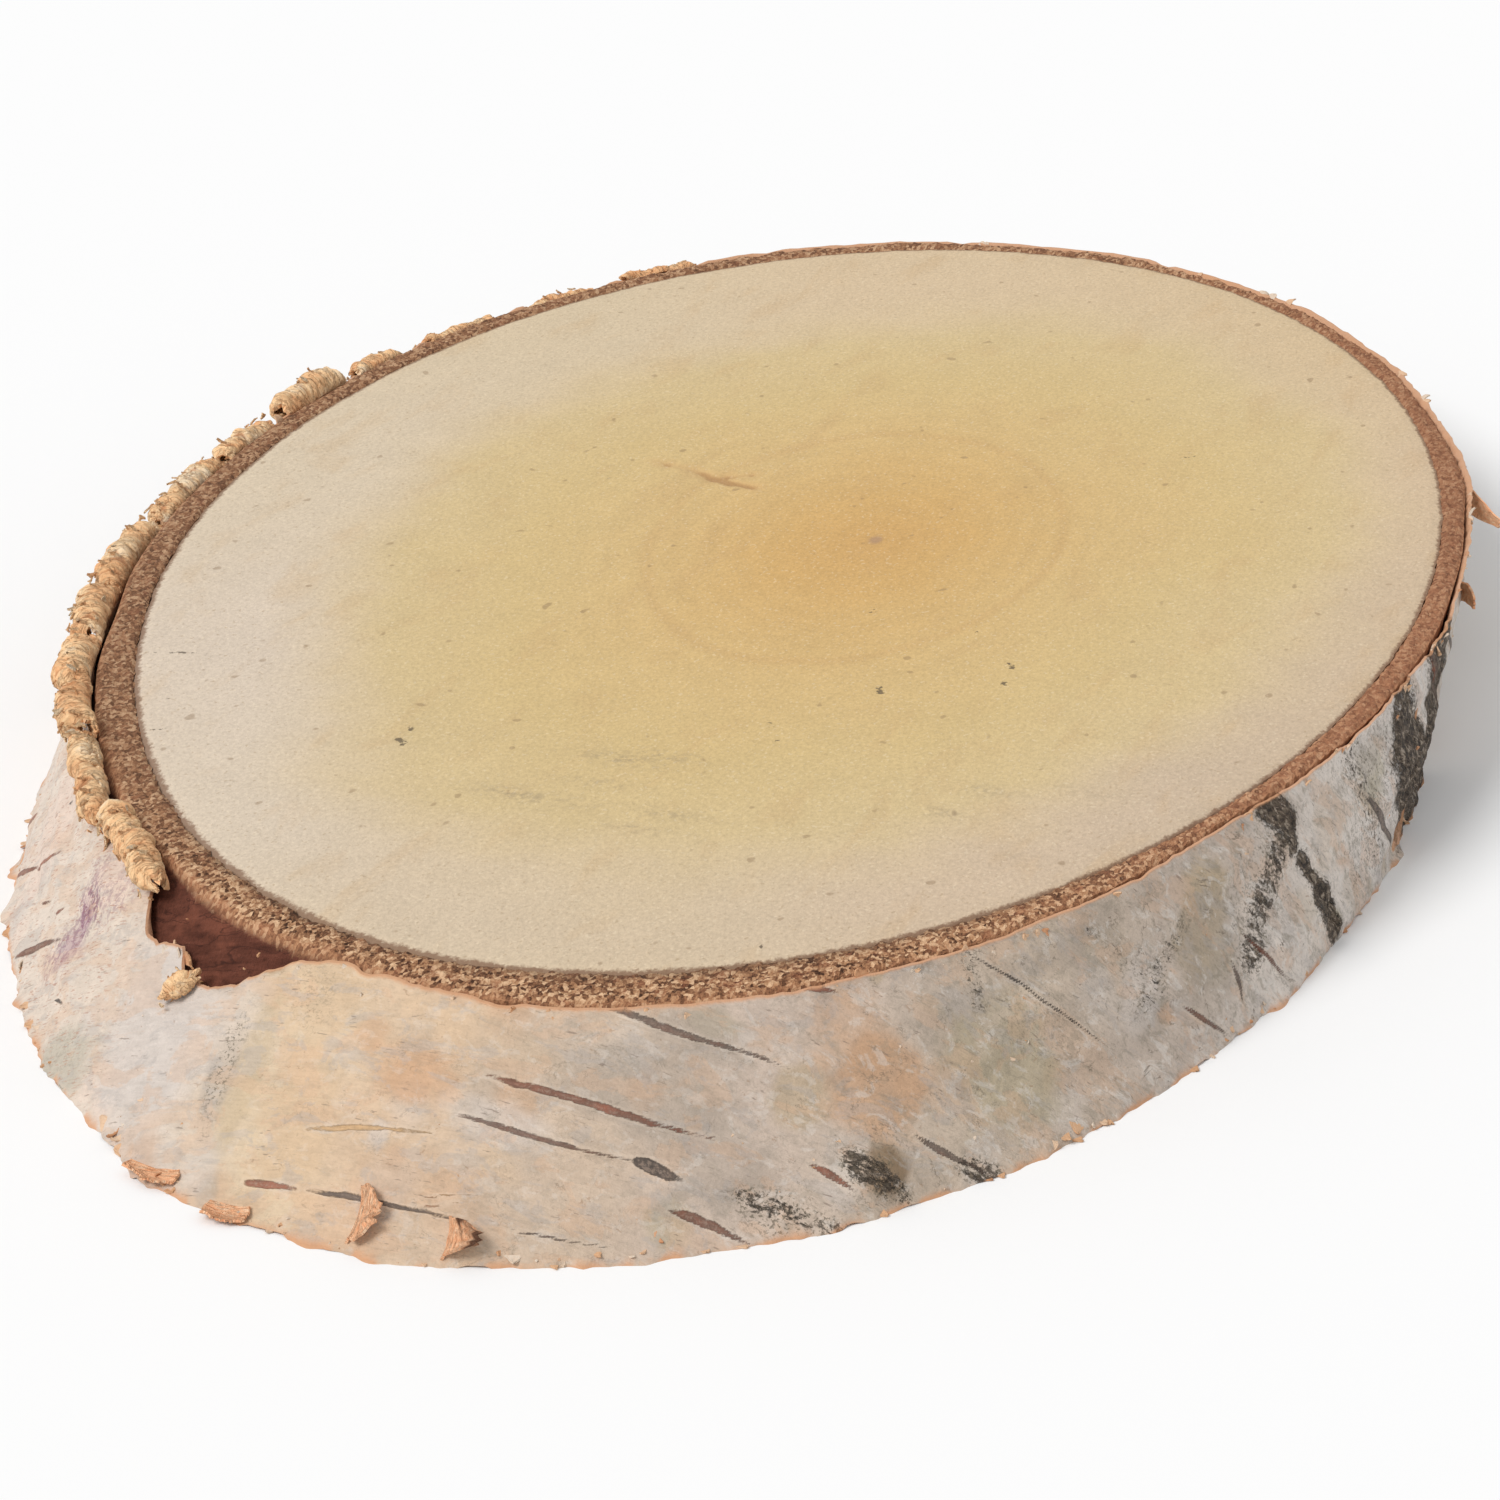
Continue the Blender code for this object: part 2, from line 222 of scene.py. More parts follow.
# Rough dark bark: angle and height of both ends, half width and strength
CRUSTS = (
    (217.6, 4.2, 219.6, 2.8, 1.5, 0.5),
    (219.4, 3.4, 221.4, 1.2, 1.3, 0.44),
    (211, 3.3, 218.1, -0.2, 1.1, 0.38),
    (225.5, 1.6, 227.6, 0.2, 1.2, 0.45),
    (230.2, 15.1, 239.2, 6.5, 0.8, 0.2),
    (238.8, 12, 236.5, 7.1, 1.2, 0.24),
    (244.8, 17.4, 247, 15.4, 2, 0.8),
    (247.6, 14.6, 248.6, 12.4, 1, 0.66),
    (247.2, 13.6, 246.4, 6, 1.7, 0.44),
    (250.2, 10.8, 253.9, 6.6, 1.1, 0.78),
    (253.9, 6.6, 257.6, 2, 1.8, 0.82),
    (254.4, 16.4, 263, 5, 2.8, 0.27),
    (261.6, 17.4, 264.4, 11.8, 3.4, 0.64),
    (264.4, 11.8, 268, 7.5, 4.8, 0.86),
    (268, 7.5, 273, 0, 6.4, 0.9),
    (270, 16, 277, 2, 6.4, 0.84),
    (221, 17, 223, 13, 1, 0.28),
    (14, 12, 22, 6, 4, 0.78),
    (314, 10, 322, 3, 4.5, 0.78),
    (333, 15, 337, 11, 2.5, 0.6),
    (345, 7, 351, 3, 2, 0.6),
    (60, 9, 64, 5, 3, 0.6),
    (80, 14, 84, 10, 2, 0.5),
    (97, 5, 99, 3, 2, 0.5),
)

# Colours as red, green and blue from 0 to 255, as a photograph shows them
PALETTE = {
    "white": (212, 196, 180),
    "pink": (222, 199, 183),
    "blue_white": (203, 192, 183),
    "cream": (208, 179, 146),
    "peach": (196, 154, 118),
    "khaki": (180, 156, 116),
    "olive": (174, 162, 130),
    "grey": (172, 158, 144),
    "grey_green": (168, 163, 146),
    "brown": (124, 100, 72),
    "purple": (160, 116, 140),
    "magenta": (112, 50, 76),
}

# The paper's colour at angles round the trunk, under its stains: its own colour, with painted shade that
# darkens the front of the wall from about 176 to 240 degrees
TONES_AND_SHADE = (
    (20, (200, 188, 174)), (60, (205, 190, 172)), (112, (217, 203, 189)), (138, (217, 202, 187)),
    (152, (213, 197, 181)), (165, (206, 192, 180)), (176, (210, 187, 157)), (186, (207, 179, 150)),
    (197, (200, 178, 156)), (210, (201, 182, 166)), (225, (197, 179, 160)), (240, (196, 180, 166)),
    (252, (220, 209, 199)), (263, (220, 211, 204)), (290, (202, 191, 178)), (330, (196, 184, 170)),
)

# How mottled the paper is, 0 to 1, at angles round the trunk
MOTTLED = ((60, 0.5), (112, 0.12), (165, 0.2), (200, 0.4), (225, 0.7), (250, 1), (290, 0.8))

# Where purple specks and dark specks lie on the paper: angle, height, half length round the trunk,
# half height along it, and strength
PURPLE_SPECKS = (
    (147.2, 10.4, 4.2, 6.5, 1),
    (151, 13, 5, 4, 0.5),
    (145, 6.5, 4.5, 4, 0.7),
)
SPECKLED = (
    (170.8, 8, 1.5, 8, 0.95),
    (176.5, 15, 3, 4, 0.35),
    (213.5, 1.6, 5, 3, 0.9),
    (219, 5.5, 3, 2.4, 0.5),
    (199, 14.5, 6, 2.5, 0.25),
    (228, 10, 6, 6, 0.25),
    (246, 10, 5, 9, 0.45),
    (260, 10, 7, 14, 0.55),
    (147.5, 10.5, 3, 5, 0.45),
    (151, 2, 6, 4, 0.25),
    (300, 8, 10, 10, 0.4),
    (350, 8, 10, 10, 0.4),
    (35, 8, 10, 10, 0.3),
    (85, 8, 10, 10, 0.3),
)

# The sawn face's colour at shares of the way from the pith to the edge of its straw-coloured middle
WOOD_MIDDLE = (
    (0, (211, 168, 105)), (0.16, (214, 174, 111)), (0.42, (216, 184, 127)), (0.66, (215, 188, 134)),
    (0.86, (215, 191, 144)), (1, (216, 193, 154)),
)

# Its colour outside that, at angles round the pith
WOOD_SAP = (
    (30, (217, 193, 159)), (60, (216, 196, 165)), (90, (218, 200, 174)), (122, (220, 203, 183)),
    (150, (220, 203, 181)), (172, (215, 195, 168)), (195, (213, 192, 163)), (216, (211, 188, 161)),
    (236, (206, 184, 158)), (265, (209, 186, 157)), (296, (213, 188, 157)), (330, (215, 190, 153)),
)

# How light the inner bark's face is at angles round the trunk
RING_LIGHT = (
    (60, 0.96), (125, 0.88), (160, 0.98), (200, 1.04), (238, 1.12), (265, 1.02), (290, 0.92), (330, 0.96),
)

# Ramps of colour of the inner bark's sawn face and bare wall, and of the paper's marks, rolls and flakes
RING_BROWNER = ((0.36, (70, 46, 33)), (0.47, (132, 92, 66)), (0.57, (176, 131, 96)), (0.72, (226, 188, 150)))
RING_REDDER = ((0.32, (98, 58, 42)), (0.45, (152, 100, 72)), (0.58, (180, 128, 94)), (0.78, (214, 168, 132)))
BARE_WALL = ((0.25, (60, 32, 24)), (0.48, (88, 50, 38)), (0.66, (106, 62, 48)), (0.85, (134, 90, 70)))
CRUST_COLOURS = ((0.41, (28, 22, 19)), (0.48, (56, 45, 37)), (0.545, (98, 83, 69)), (0.61, (172, 158, 142)))
LENTICEL_COLOURS = (
    (0.1, (194, 158, 116)), (0.42, (190, 150, 108)), (0.52, (148, 88, 66)), (0.66, (112, 74, 58)),
    (0.81, (106, 90, 80)), (0.97, (66, 58, 53)),
)
CURL_COLOURS = (
    (0.28, (224, 158, 108)), (0.44, (240, 186, 136)), (0.6, (248, 208, 160)), (0.8, (252, 230, 198)),
)
PEACH_COLOURS = ((0.3, (240, 164, 118)), (0.5, (250, 190, 146)), (0.7, (252, 216, 182)))
FLAKE_COLOURS = (
    (0.15, (190, 132, 94)), (0.4, (212, 166, 126)), (0.65, (220, 186, 154)), (0.92, (218, 202, 184)),
)

# The tongue whose inner side faces the camera, which gets painted shade on that side
SHADED_TONGUE = 1  # the one whose hollow side faces the camera

ROLL_TURN = math.radians(330)
ROLL_SHRINK = 0.24
ROLL_ENDS = 0.72
ROOT_DEPTH = 0.35
ROLL_PAPER = 0.5

FRONT = (112.0, 292.0)  # angles between which the camera sees the wall


# The trunk's own shapes
def stacked(*parts):
    """Vectors from their parts, which are stretched to one shape."""
    return np.stack(np.broadcast_arrays(*parts), -1).astype(float)


def periodic(points, degrees):
    """The values at these angles on a smooth closed curve through (angle, value) points."""
    angles = np.array([point[0] for point in points], float)
    values = np.array([point[1] for point in points], float)
    angles = np.concatenate([[angles[-1] - 360], angles, [angles[0] + 360]])
    values = np.concatenate([[values[-1]], values, [values[0]]])
    degrees = np.asarray(degrees, float) % 360
    i = np.clip(np.searchsorted(angles, degrees, side="right") - 1, 0, len(angles) - 2)
    share = (degrees - angles[i]) / (angles[i + 1] - angles[i])
    return values[i] + (values[i + 1] - values[i]) * share * share * (3 - 2 * share)


def turned(degrees, middle):
    """How far these angles are past another one, from -180 to 180."""
    return (np.asarray(degrees, float) - middle + 180) % 360 - 180


def wood_radius(degrees):
    lobes = [size * np.cos(np.radians(waves * (degrees - crest))) for waves, size, crest in WOOD_LOBES]
    return WOOD_RADIUS + sum(lobes)


def outer_radius(degrees, height):
    """Outside of the papery bark."""
    share = height / THICKNESS
    bark = (1 - share) * periodic(FOOT_BARK, degrees) + share * periodic(TOP_BARK, degrees)
    angle = np.radians(degrees)
    uneven = sum(size * np.sin(waves * angle + rise * height + phase) for waves, rise, size, phase in UNEVEN)
    for middle, level, half_width, half_height, rise in SWELLINGS:
        off = turned(degrees, middle)
        uneven = uneven + rise * np.exp(-((off / half_width) ** 2) - ((height - level) / half_height) ** 2)
    return wood_radius(degrees) + bark + uneven


def place(degrees, radius, height):
    """The points, in millimetres, of places on the leaning trunk."""
    angle = np.radians(degrees)
    x = AXIS[0] + radius * np.cos(angle) / math.cos(TILT) + (height - THICKNESS / 2) * math.tan(TILT)
    y = AXIS[1] + radius * np.sin(angle)
    return stacked(x, y, height)


def along_trunk(degrees, radius, height):
    """How far up the trunk a place is, along its middle line."""
    return radius * np.cos(np.radians(degrees)) * math.tan(TILT) + height / math.cos(TILT)


def in_trunk(degrees, radius, height):
    """Places in the trunk's own frame: two coordinates across it and one along it."""
    angle = np.radians(degrees)
    return stacked(radius * np.cos(angle), radius * np.sin(angle), along_trunk(degrees, radius, height))


def wall_frame(degrees, height):
    """Points of the outer wall with their unit directions outwards, round the trunk and up the wall."""
    nudge = 0.2
    here = place(degrees, outer_radius(degrees, height), height)
    beside = place(degrees + nudge, outer_radius(degrees + nudge, height), height)
    lower = place(degrees, outer_radius(degrees, height - nudge), height - nudge)
    round_trunk = unit(beside - here)
    up_wall = here - lower
    up_wall = unit(up_wall - (up_wall * round_trunk).sum(-1, keepdims=True) * round_trunk)
    return here, np.cross(round_trunk, up_wall), round_trunk, up_wall


def unit(vectors):
    return vectors / np.linalg.norm(vectors, axis=-1, keepdims=True)


# Noise and soft steps
def hashed(cells, seed):
    """A number from -1 to 1 for each whole-numbered cell."""
    cells = cells.astype(np.int64).astype(np.uint32)
    mixed = cells[..., 0] * np.uint32(73856093)
    mixed ^= cells[..., 1] * np.uint32(19349663)
    mixed ^= cells[..., 2] * np.uint32(83492791)
    mixed ^= np.uint32((seed * 2654435761) % 2**32)
    for shift in (15, 13):
        mixed ^= mixed >> np.uint32(shift)
        mixed = mixed * np.uint32(2246822519)
    mixed ^= mixed >> np.uint32(16)
    return mixed / (2**31 - 0.5) - 1


def noise(points, size, seed):
    """Smooth noise from -1 to 1 whose patches are this many millimetres wide, one number or three."""
    scaled = points / size
    cell = np.floor(scaled)
    part = scaled - cell
    part = part**3 * (part * (part * 6 - 15) + 10)
    total = 0
    for corner in np.ndindex(2, 2, 2):
        weights = [part[..., k] if corner[k] else 1 - part[..., k] for k in range(3)]
        total = total + weights[0] * weights[1] * weights[2] * hashed(cell + corner, seed)
    return total


def layered(points, size, layers, seed):
    """Noise whose finer layers are each half as wide and half as strong."""
    total = 0
    for k in range(layers):
        total = total + noise(points, np.asarray(size) / 2**k, seed + 31 * k) / 2**k
    return total / (2 - 2 ** (1 - layers))


def ridged(points, size, layers, seed):
    """Narrow valleys, 0 to 1, where the noise passes through zero."""
    total = 0
    for k in range(layers):
        valley = 1 - np.abs(noise(points, np.asarray(size) / 2**k, seed + 57 * k))
        total = total + valley**4 / 2**k
    return total / (2 - 2 ** (1 - layers))


def step(value, low, high):
    """Soft step from 0 at low to 1 at high."""
    share = np.clip((value - low) / (high - low), 0, 1)
    return share * share * (3 - 2 * share)


def between(value, low, start, end, high):
    """1 from start to end, down to 0 at low and high."""
    return step(value, low, start) * (1 - step(value, end, high))


# Meshes
def linear(colour):
    """Linear colour of red, green and blue from 0 to 255."""
    value = np.array(colour, float) / 255
    return np.where(value <= 0.04045, value / 12.92, ((value + 0.055) / 1.055) ** 2.4)


def faces_outwards(points, faces):
    """The faces, turned round if they face into the body."""
    volume = 0
    for some in faces:
        first = points[some[:, 0]]
        for k in range(1, some.shape[1] - 1):
            volume += np.einsum("ij,ij->", first, np.cross(points[some[:, k]], points[some[:, k + 1]]))
    return faces if volume > 0 else [some[:, ::-1] for some in faces]


def piece_of(name, points, faces, attributes, sharp=50):
    """A mesh object from a grid or row of points in millimetres, arrays of faces, and values that fit it."""
    mesh = bpy.data.meshes.new(name)
    grid = points.shape[:-1]
    points = points.reshape(-1, 3)
    faces = faces_outwards(points, faces)
    corners = np.concatenate([some.ravel() for some in faces]).astype(np.int32)
    totals = np.concatenate([np.full(len(some), some.shape[1]) for some in faces]).astype(np.int32)
    mesh.vertices.add(len(points))
    mesh.vertices.foreach_set("co", (points * MM).astype(np.float32).ravel())
    mesh.loops.add(len(corners))
    mesh.loops.foreach_set("vertex_index", corners)
    mesh.polygons.add(len(totals))
    mesh.polygons.foreach_set("loop_start", (np.cumsum(totals) - totals).astype(np.int32))
    mesh.polygons.foreach_set("loop_total", totals)
    mesh.update(calc_edges=True)
    mesh.validate()
    for key, values in attributes.items():
        values = np.asarray(values, np.float32)
        if values.shape == (*grid, 3):
            mesh.attributes.new(key, "FLOAT_VECTOR", "POINT").data.foreach_set("vector", values.ravel())
        else:
            values = np.broadcast_to(values, grid).ravel()
            mesh.attributes.new(key, "FLOAT", "POINT").data.foreach_set("value", values)
    mesh.shade_smooth()
    mesh.set_sharp_from_angle(angle=math.radians(sharp))
    obj = bpy.data.objects.new(name, mesh)
    bpy.context.scene.collection.objects.link(obj)
    return obj


def grid_faces(rows, columns, closed_rows=False, closed_columns=False):
    """Four-sided faces of a grid of points, numbered row by row."""
    i = np.arange(rows if closed_rows else rows - 1)
    j = np.arange(columns if closed_columns else columns - 1)
    i, j = (part.ravel() for part in np.meshgrid(i, j, indexing="ij"))
    after, side = (i + 1) % rows, (j + 1) % columns
    return np.stack([i * columns + j, i * columns + side, after * columns + side, after * columns + j], -1)


def columns_round(front_step, back_step):
    """Angles round the trunk: close together where the camera sees the wall and further apart behind."""
    fine = 0.05
    degrees = np.arange(0, 360, fine)
    angle = np.radians(degrees)
    spread = WOOD_RADIUS * np.sqrt((np.sin(angle) / math.cos(TILT)) ** 2 + np.cos(angle) ** 2)
    blend = 12.0
    seen = between(degrees, FRONT[0] - blend, FRONT[0], FRONT[1], FRONT[1] + blend)
    count = np.cumsum(spread / (back_step + (front_step - back_step) * seen)) * math.radians(fine)
    total = int(count[-1])
    return np.interp(np.arange(total) * count[-1] / total, count - count[0], degrees)


def spread(levels, columns):
    """Each number of the levels as a grid, the same all the way round."""
    return (np.array(column)[:, None] + 0 * columns for column in zip(*levels))


def colour_round(table, degrees):
    """The linear colour at these angles on a smooth closed curve through (angle, colour) points."""
    channels = [periodic([(angle, linear(shade)[k]) for angle, shade in table], degrees) for k in range(3)]
    return np.stack(channels, -1)


def slab(middle, thick, attributes):
    """Points, faces and attributes of a closed thin sheet round a grid of middle points."""
    rows, columns = middle.shape[:2]
    normal = np.cross(np.gradient(middle, axis=0), np.gradient(middle, axis=1))
    normal /= np.maximum(np.linalg.norm(normal, axis=-1, keepdims=True), 1e-9)
    half = normal * np.broadcast_to(thick, (rows, columns))[..., None] / 2
    points = np.concatenate([(middle + half).reshape(-1, 3), (middle - half).reshape(-1, 3)])
    front = grid_faces(rows, columns)
    behind = front[:, ::-1] + rows * columns
    index = np.arange(rows * columns).reshape(rows, columns)
    border = np.concatenate([index[0, :-1], index[:-1, -1], index[-1, :0:-1], index[:0:-1, 0]])
    after = np.roll(border, -1)
    rim = np.stack([border, border + rows * columns, after + rows * columns, after], -1)
    faces = faces_outwards(points, [np.concatenate([front, behind, rim])])[0]
    doubled = {}
    for key, values in attributes.items():
        shape = middle.shape if key == "trunk" else (rows, columns)
        values = np.broadcast_to(values, shape).reshape(rows * columns, *shape[2:])
        doubled[key] = np.concatenate([values, values])
    return points, faces, doubled


def joined(parts):
    """One set of points, faces and attributes from several."""
    points, faces, attributes = [], [], {}
    start = 0
    for some_points, some_faces, some_attributes in parts:
        points.append(some_points)
        faces.append(some_faces + start)
        start += len(some_points)
        for key, values in some_attributes.items():
            attributes.setdefault(key, []).append(values)
    joined = {key: np.concatenate(values) for key, values in attributes.items()}
    return np.concatenate(points), [np.concatenate(faces)], joined


# Marks drawn by each point's place beside the nearest one
def mark_field(x, y, marks, head=0.0):
    """For each point: how far inside the nearest mark it is in millimetres, below 0 outside, and its kind.
    A mark is x and y of both ends, half width and kind. The head is how much wider it is at its first end."""
    best = np.full(x.shape, -9.0)
    kinds = np.zeros(x.shape)
    for x0, y0, x1, y1, width, kind in marks:
        half = max(math.hypot(x1 - x0, y1 - y0) / 2, 1e-6)
        dx, dy = (x1 - x0) / 2 / half, (y1 - y0) / 2 / half
        rx, ry = x - (x0 + x1) / 2, y - (y0 + y1) / 2
        along = (rx * dx + ry * dy) / (half + width)
        off = ry * dx - rx * dy
        taper = np.sqrt(np.clip(1 - along**2, 0, 1)) * (1 - head * along)
        beyond = np.maximum(np.abs(along) - 1, 0) * (half + width)
        inside = ((width * taper) ** 2 - off**2 - beyond**2) / (2 * width)
        kinds = np.where(inside > best, kind, kinds)
        best = np.maximum(best, inside)
    return np.clip(best, -2.0, 2.0), kinds


def unrolled(degrees, height):
    """The wall laid flat: millimetres round the trunk and along it."""
    past_seam = np.where(np.asarray(degrees) < FRONT[0], np.asarray(degrees) + 360.0, degrees)
    return np.radians(past_seam) * WALL_RADIUS + 0 * height, along_trunk(degrees, WALL_RADIUS, height)


def blot(degrees, height, spot, warp, low, high):
    """1 in the middle of a ragged spot with this angle, height, half length round and half height along."""
    middle, level, half_round, half_along = spot
    there = along_trunk(middle, WALL_RADIUS, level)
    dx = np.radians(turned(degrees, middle)) * WALL_RADIUS / half_round
    dy = (along_trunk(degrees, WALL_RADIUS, height) - there) / half_along
    return 1 - step(np.hypot(dx, dy) + warp, low, high)


# The wood
def distance_to(path, x, y):
    """How far points are from a path of straight stretches."""
    best = np.full(x.shape, 1e9)
    for (x0, y0), (x1, y1) in zip(path, path[1:]):
        along = ((x - x0) * (x1 - x0) + (y - y0) * (y1 - y0)) / ((x1 - x0) ** 2 + (y1 - y0) ** 2)
        along = np.clip(along, 0, 1)
        best = np.minimum(best, np.hypot(x - x0 - along * (x1 - x0), y - y0 - along * (y1 - y0)))
    return best


def make_wood():
    columns = columns_round(0.9, 1.5)
    shares = np.concatenate([
        np.linspace(0.004, 0.2, 12), np.linspace(0.2, 0.42, 30)[1:], np.linspace(0.42, 1, 56)[1:],
    ])
    levels = [(share, THICKNESS) for share in shares]
    levels += [(1.0, height) for height in (16.6, 14.0, 9.0, 4.0, 0.6)]
    levels += [(share, 0.0) for share in np.linspace(1, 0.01, 32)]
    share, height = spread(levels, columns)
    top, foot = height == THICKNESS, height == 0
    pith = (PITH[0] * math.cos(TILT), PITH[1])
    turn = np.radians(columns)
    radius = wood_radius(columns)
    u = pith[0] + share * (radius * np.cos(turn) - pith[0])
    v = pith[1] + share * (radius * np.sin(turn) - pith[1])
    rim = in_trunk(columns, radius, 0 * columns)
    fray = 1 + (0.06 + 0.16 * noise(rim, 1.1, 3)) / radius * (share > 0.985)
    u, v = u * fray, v * fray
    trunk = np.stack([u, v, u * math.tan(TILT) + height / math.cos(TILT)], -1)
    face_x, face_y = u / math.cos(TILT), v
    relief = 0.03 * layered(trunk, 1.6, 2, 11) + 0.04 * layered(trunk, 9.0, 2, 12)
    relief = relief - 0.2 * step(share, 0.985, 1.0)
    check = np.minimum(distance_to(CHECK, face_x, face_y), 0.35 + distance_to(CHECK_BRANCH, face_x, face_y))
    check = np.where(top, check + 0.5 * noise(trunk, 1.3, 17) + 0.5 * noise(trunk, 3.5, 18), 9.0)
    relief -= 0.3 * np.exp(-((check / 0.7) ** 2))
    z = np.where(top, height + relief, height + foot * 0.05 * np.abs(noise(trunk, 2.0, 5)))
    x = AXIS[0] + face_x + (height - THICKNESS / 2) * math.tan(TILT)
    points = np.stack([x, AXIS[1] + face_y, z], -1)
    towards = np.degrees(np.arctan2(v - pith[1], u - pith[0])) % 360
    zone = share / periodic(ZONE_EDGE, towards)
    zone = zone + 0.05 * layered(trunk, 22.0, 2, 21) + 0.02 * noise(trunk, 5.0, 22)
    shift_x, shift_y = 0.25 * noise(trunk, 0.9, 23), 0.25 * noise(trunk, 0.9, 24)
    mark, _ = mark_field(face_x + shift_x, face_y + shift_y, [(*speck, 1.0) for speck in SPECKS])
    smudge = np.zeros(height.shape)
    for middle_x, middle_y, half_length, half_width, strength in SMUDGES:
        away = ((face_x - middle_x) / half_width) ** 2 + ((face_y - middle_y) / half_length) ** 2
        smudge = np.maximum(smudge, strength * np.exp(-away) * top)
    attributes = {
        "trunk": trunk,
        "ring": share,
        "zone": zone,
        "sap": colour_round(WOOD_SAP, towards),
        "mark": np.where(top, mark, -2.0),
        "check": check,
        "smudge": smudge,
    }
    quads = grid_faces(len(levels), len(columns), closed_columns=True)
    first = np.arange(len(columns))[None, :]
    last = first + (len(levels) - 1) * len(columns)
    return piece_of("slice_wood", points, [quads, first[:, ::-1], last], attributes)


# The inner bark
def make_inner_bark():
    columns = columns_round(0.27, 0.6)
    across_top = np.linspace(0, 1, 18)
    down = np.linspace(0, 1, 16)[1:]
    levels = [(across, 0.0, 0.0) for across in across_top]
    levels += [(1.0, share, 1.0) for share in down]
    levels += [(across, 1.0, 0.0) for across in (0.66, 0.33, 0.0)]
    levels += [(0.0, share, 0.0) for share in (0.75, 0.5, 0.25)]
    across, down, wall = spread(levels, columns)
    height = THICKNESS * (1 - down)
    top = down == 0
    close = np.exp(-down * THICKNESS / 1.2)
    inside = wood_radius(columns) + GAP - 0.22 * close
    outside = outer_radius(columns, height) - PAPER - GAP + 0.27 * close * (1 - torn(columns, 0.6))
    radius = inside + across * (outside - inside)
    rough = in_trunk(columns, radius, height)
    grain = 0.13 * noise(rough, 0.75, 41) + 0.13 * noise(rough, 0.42, 42) + 0.08 * noise(rough, 2.6, 43)
    edge = np.minimum(across, 1 - across) * (outside - inside)
    height = height + top * (grain - 0.28 * (1 - step(edge, 0.0, 0.5)) + 0.05)
    height = np.maximum(height, 0.0)
    radius = radius + (across == 0) * top * 0.14 * noise(rough, 0.8, 44)
    fold = 0.16 * layered(rough, (9.0, 9.0, 2.4), 3, 45) + 0.05 * noise(rough, 0.8, 46)
    fold = fold + 0.16 * close * noise(rough, 0.5, 47)
    radius = radius + wall * (1 - np.exp(-down * THICKNESS / 0.5)) * fold
    points = place(columns, radius, height)
    attributes = {
        "trunk": in_trunk(columns, radius, height),
        "across": across,
        "wall": wall,
        "red": between(turned(columns, 300), -80, -40, 15, 60),
        "light": periodic(RING_LIGHT, columns),
        "front": between(turned(columns, 190), -60, -20, 20, 60),
        "down": down,
    }
    quads = grid_faces(len(levels), len(columns), closed_rows=True, closed_columns=True)
    return piece_of("inner_bark_ring", points, [quads], attributes)


def torn(degrees, blend):
    """1 at the torn place, 0 away from it."""
    middle = (TEAR[0][0] + TEAR[-1][0]) / 2
    half = (TEAR[-1][0] - TEAR[0][0]) / 2
    return 1 - step(np.abs(turned(degrees, middle)), half - blend, half)


# The papery outer bark
def rim_height(degrees):
    """Height of the paper's upper edge."""
    rough = in_trunk(degrees, WOOD_RADIUS + 0 * degrees, 0 * degrees)
    edge = np.interp(degrees, [point[0] for point in TEAR], [point[1] for point in TEAR])
    for start, end, _ in ROLLS[:-1]:
        covered = between(degrees, start[0] - 1.2, start[0] + 0.2, end[0] - 0.2, end[0] + 1.2)
        root = np.interp(degrees, (start[0], end[0]), (start[1], end[1]))
        edge = edge - covered * np.maximum(edge - root - 0.1, 0)
    edge = edge + torn(degrees, 1.0) * (0.22 * noise(rough, 1.3, 61) + 0.12 * noise(rough, 0.6, 62))
    return edge - 0.10 - 0.12 * np.abs(noise(rough, 1.6, 63)) - 0.25 * step(noise(rough, 4.0, 64), 0.45, 0.8)


def crust_at(degrees, height, rough):
    """How rough and dark the bark is, 0 to 1."""
    x, y = unrolled(degrees, height)
    total = np.zeros(x.shape)
    warp = 0.40 * layered(rough, (4.0, 4.0, 2.4), 4, 71)
    for start, low, end, high, width, strength in CRUSTS:
        distance = distance_to((unrolled(start, low), unrolled(end, high)), x, y)
        total = np.maximum(total, strength * (1 - step(distance / width + warp, 0.4, 1.5)))
    return total


def stains_behind():
    """Stains on the side that the camera doesn't see."""
    rng = np.random.default_rng(5)
    names = ("pink", "blue_white", "cream", "peach", "khaki", "olive", "grey", "grey", "grey_green")
    stains = []
    for middle in np.arange(FRONT[1] - 12, FRONT[0] + 360, 3.4):
        name = names[rng.integers(len(names))]
        size = rng.uniform(3.0, 9.0)
        level, half_along, strength = rng.uniform(1, 17), size * rng.uniform(0.5, 1.2), rng.uniform(0.4, 0.8)
        stains.append((middle % 360, level, size, half_along, name, strength))
    return stains


def patches():
    """Small patches of other colours in front, more of them grey and olive to the right."""
    rng = np.random.default_rng(31)
    spots = []
    for _ in range(FRONT_PATCHES):
        middle, level = rng.uniform(114, 285), rng.uniform(0, 17.5)
        if middle < 165:
            name = ("white", "pink", "blue_white", "pink")[rng.integers(4)]
        elif middle < 205:
            name = ("cream", "peach", "white", "grey", "blue_white")[rng.integers(5)]
        else:
            name = ("grey", "olive", "blue_white", "peach", "khaki", "white", "grey")[rng.integers(7)]
        size = rng.uniform(0.8, 3.4)
        spots.append((middle, level, size, size * rng.uniform(0.5, 1.6), name, rng.uniform(0.2, 0.6)))
    return spots


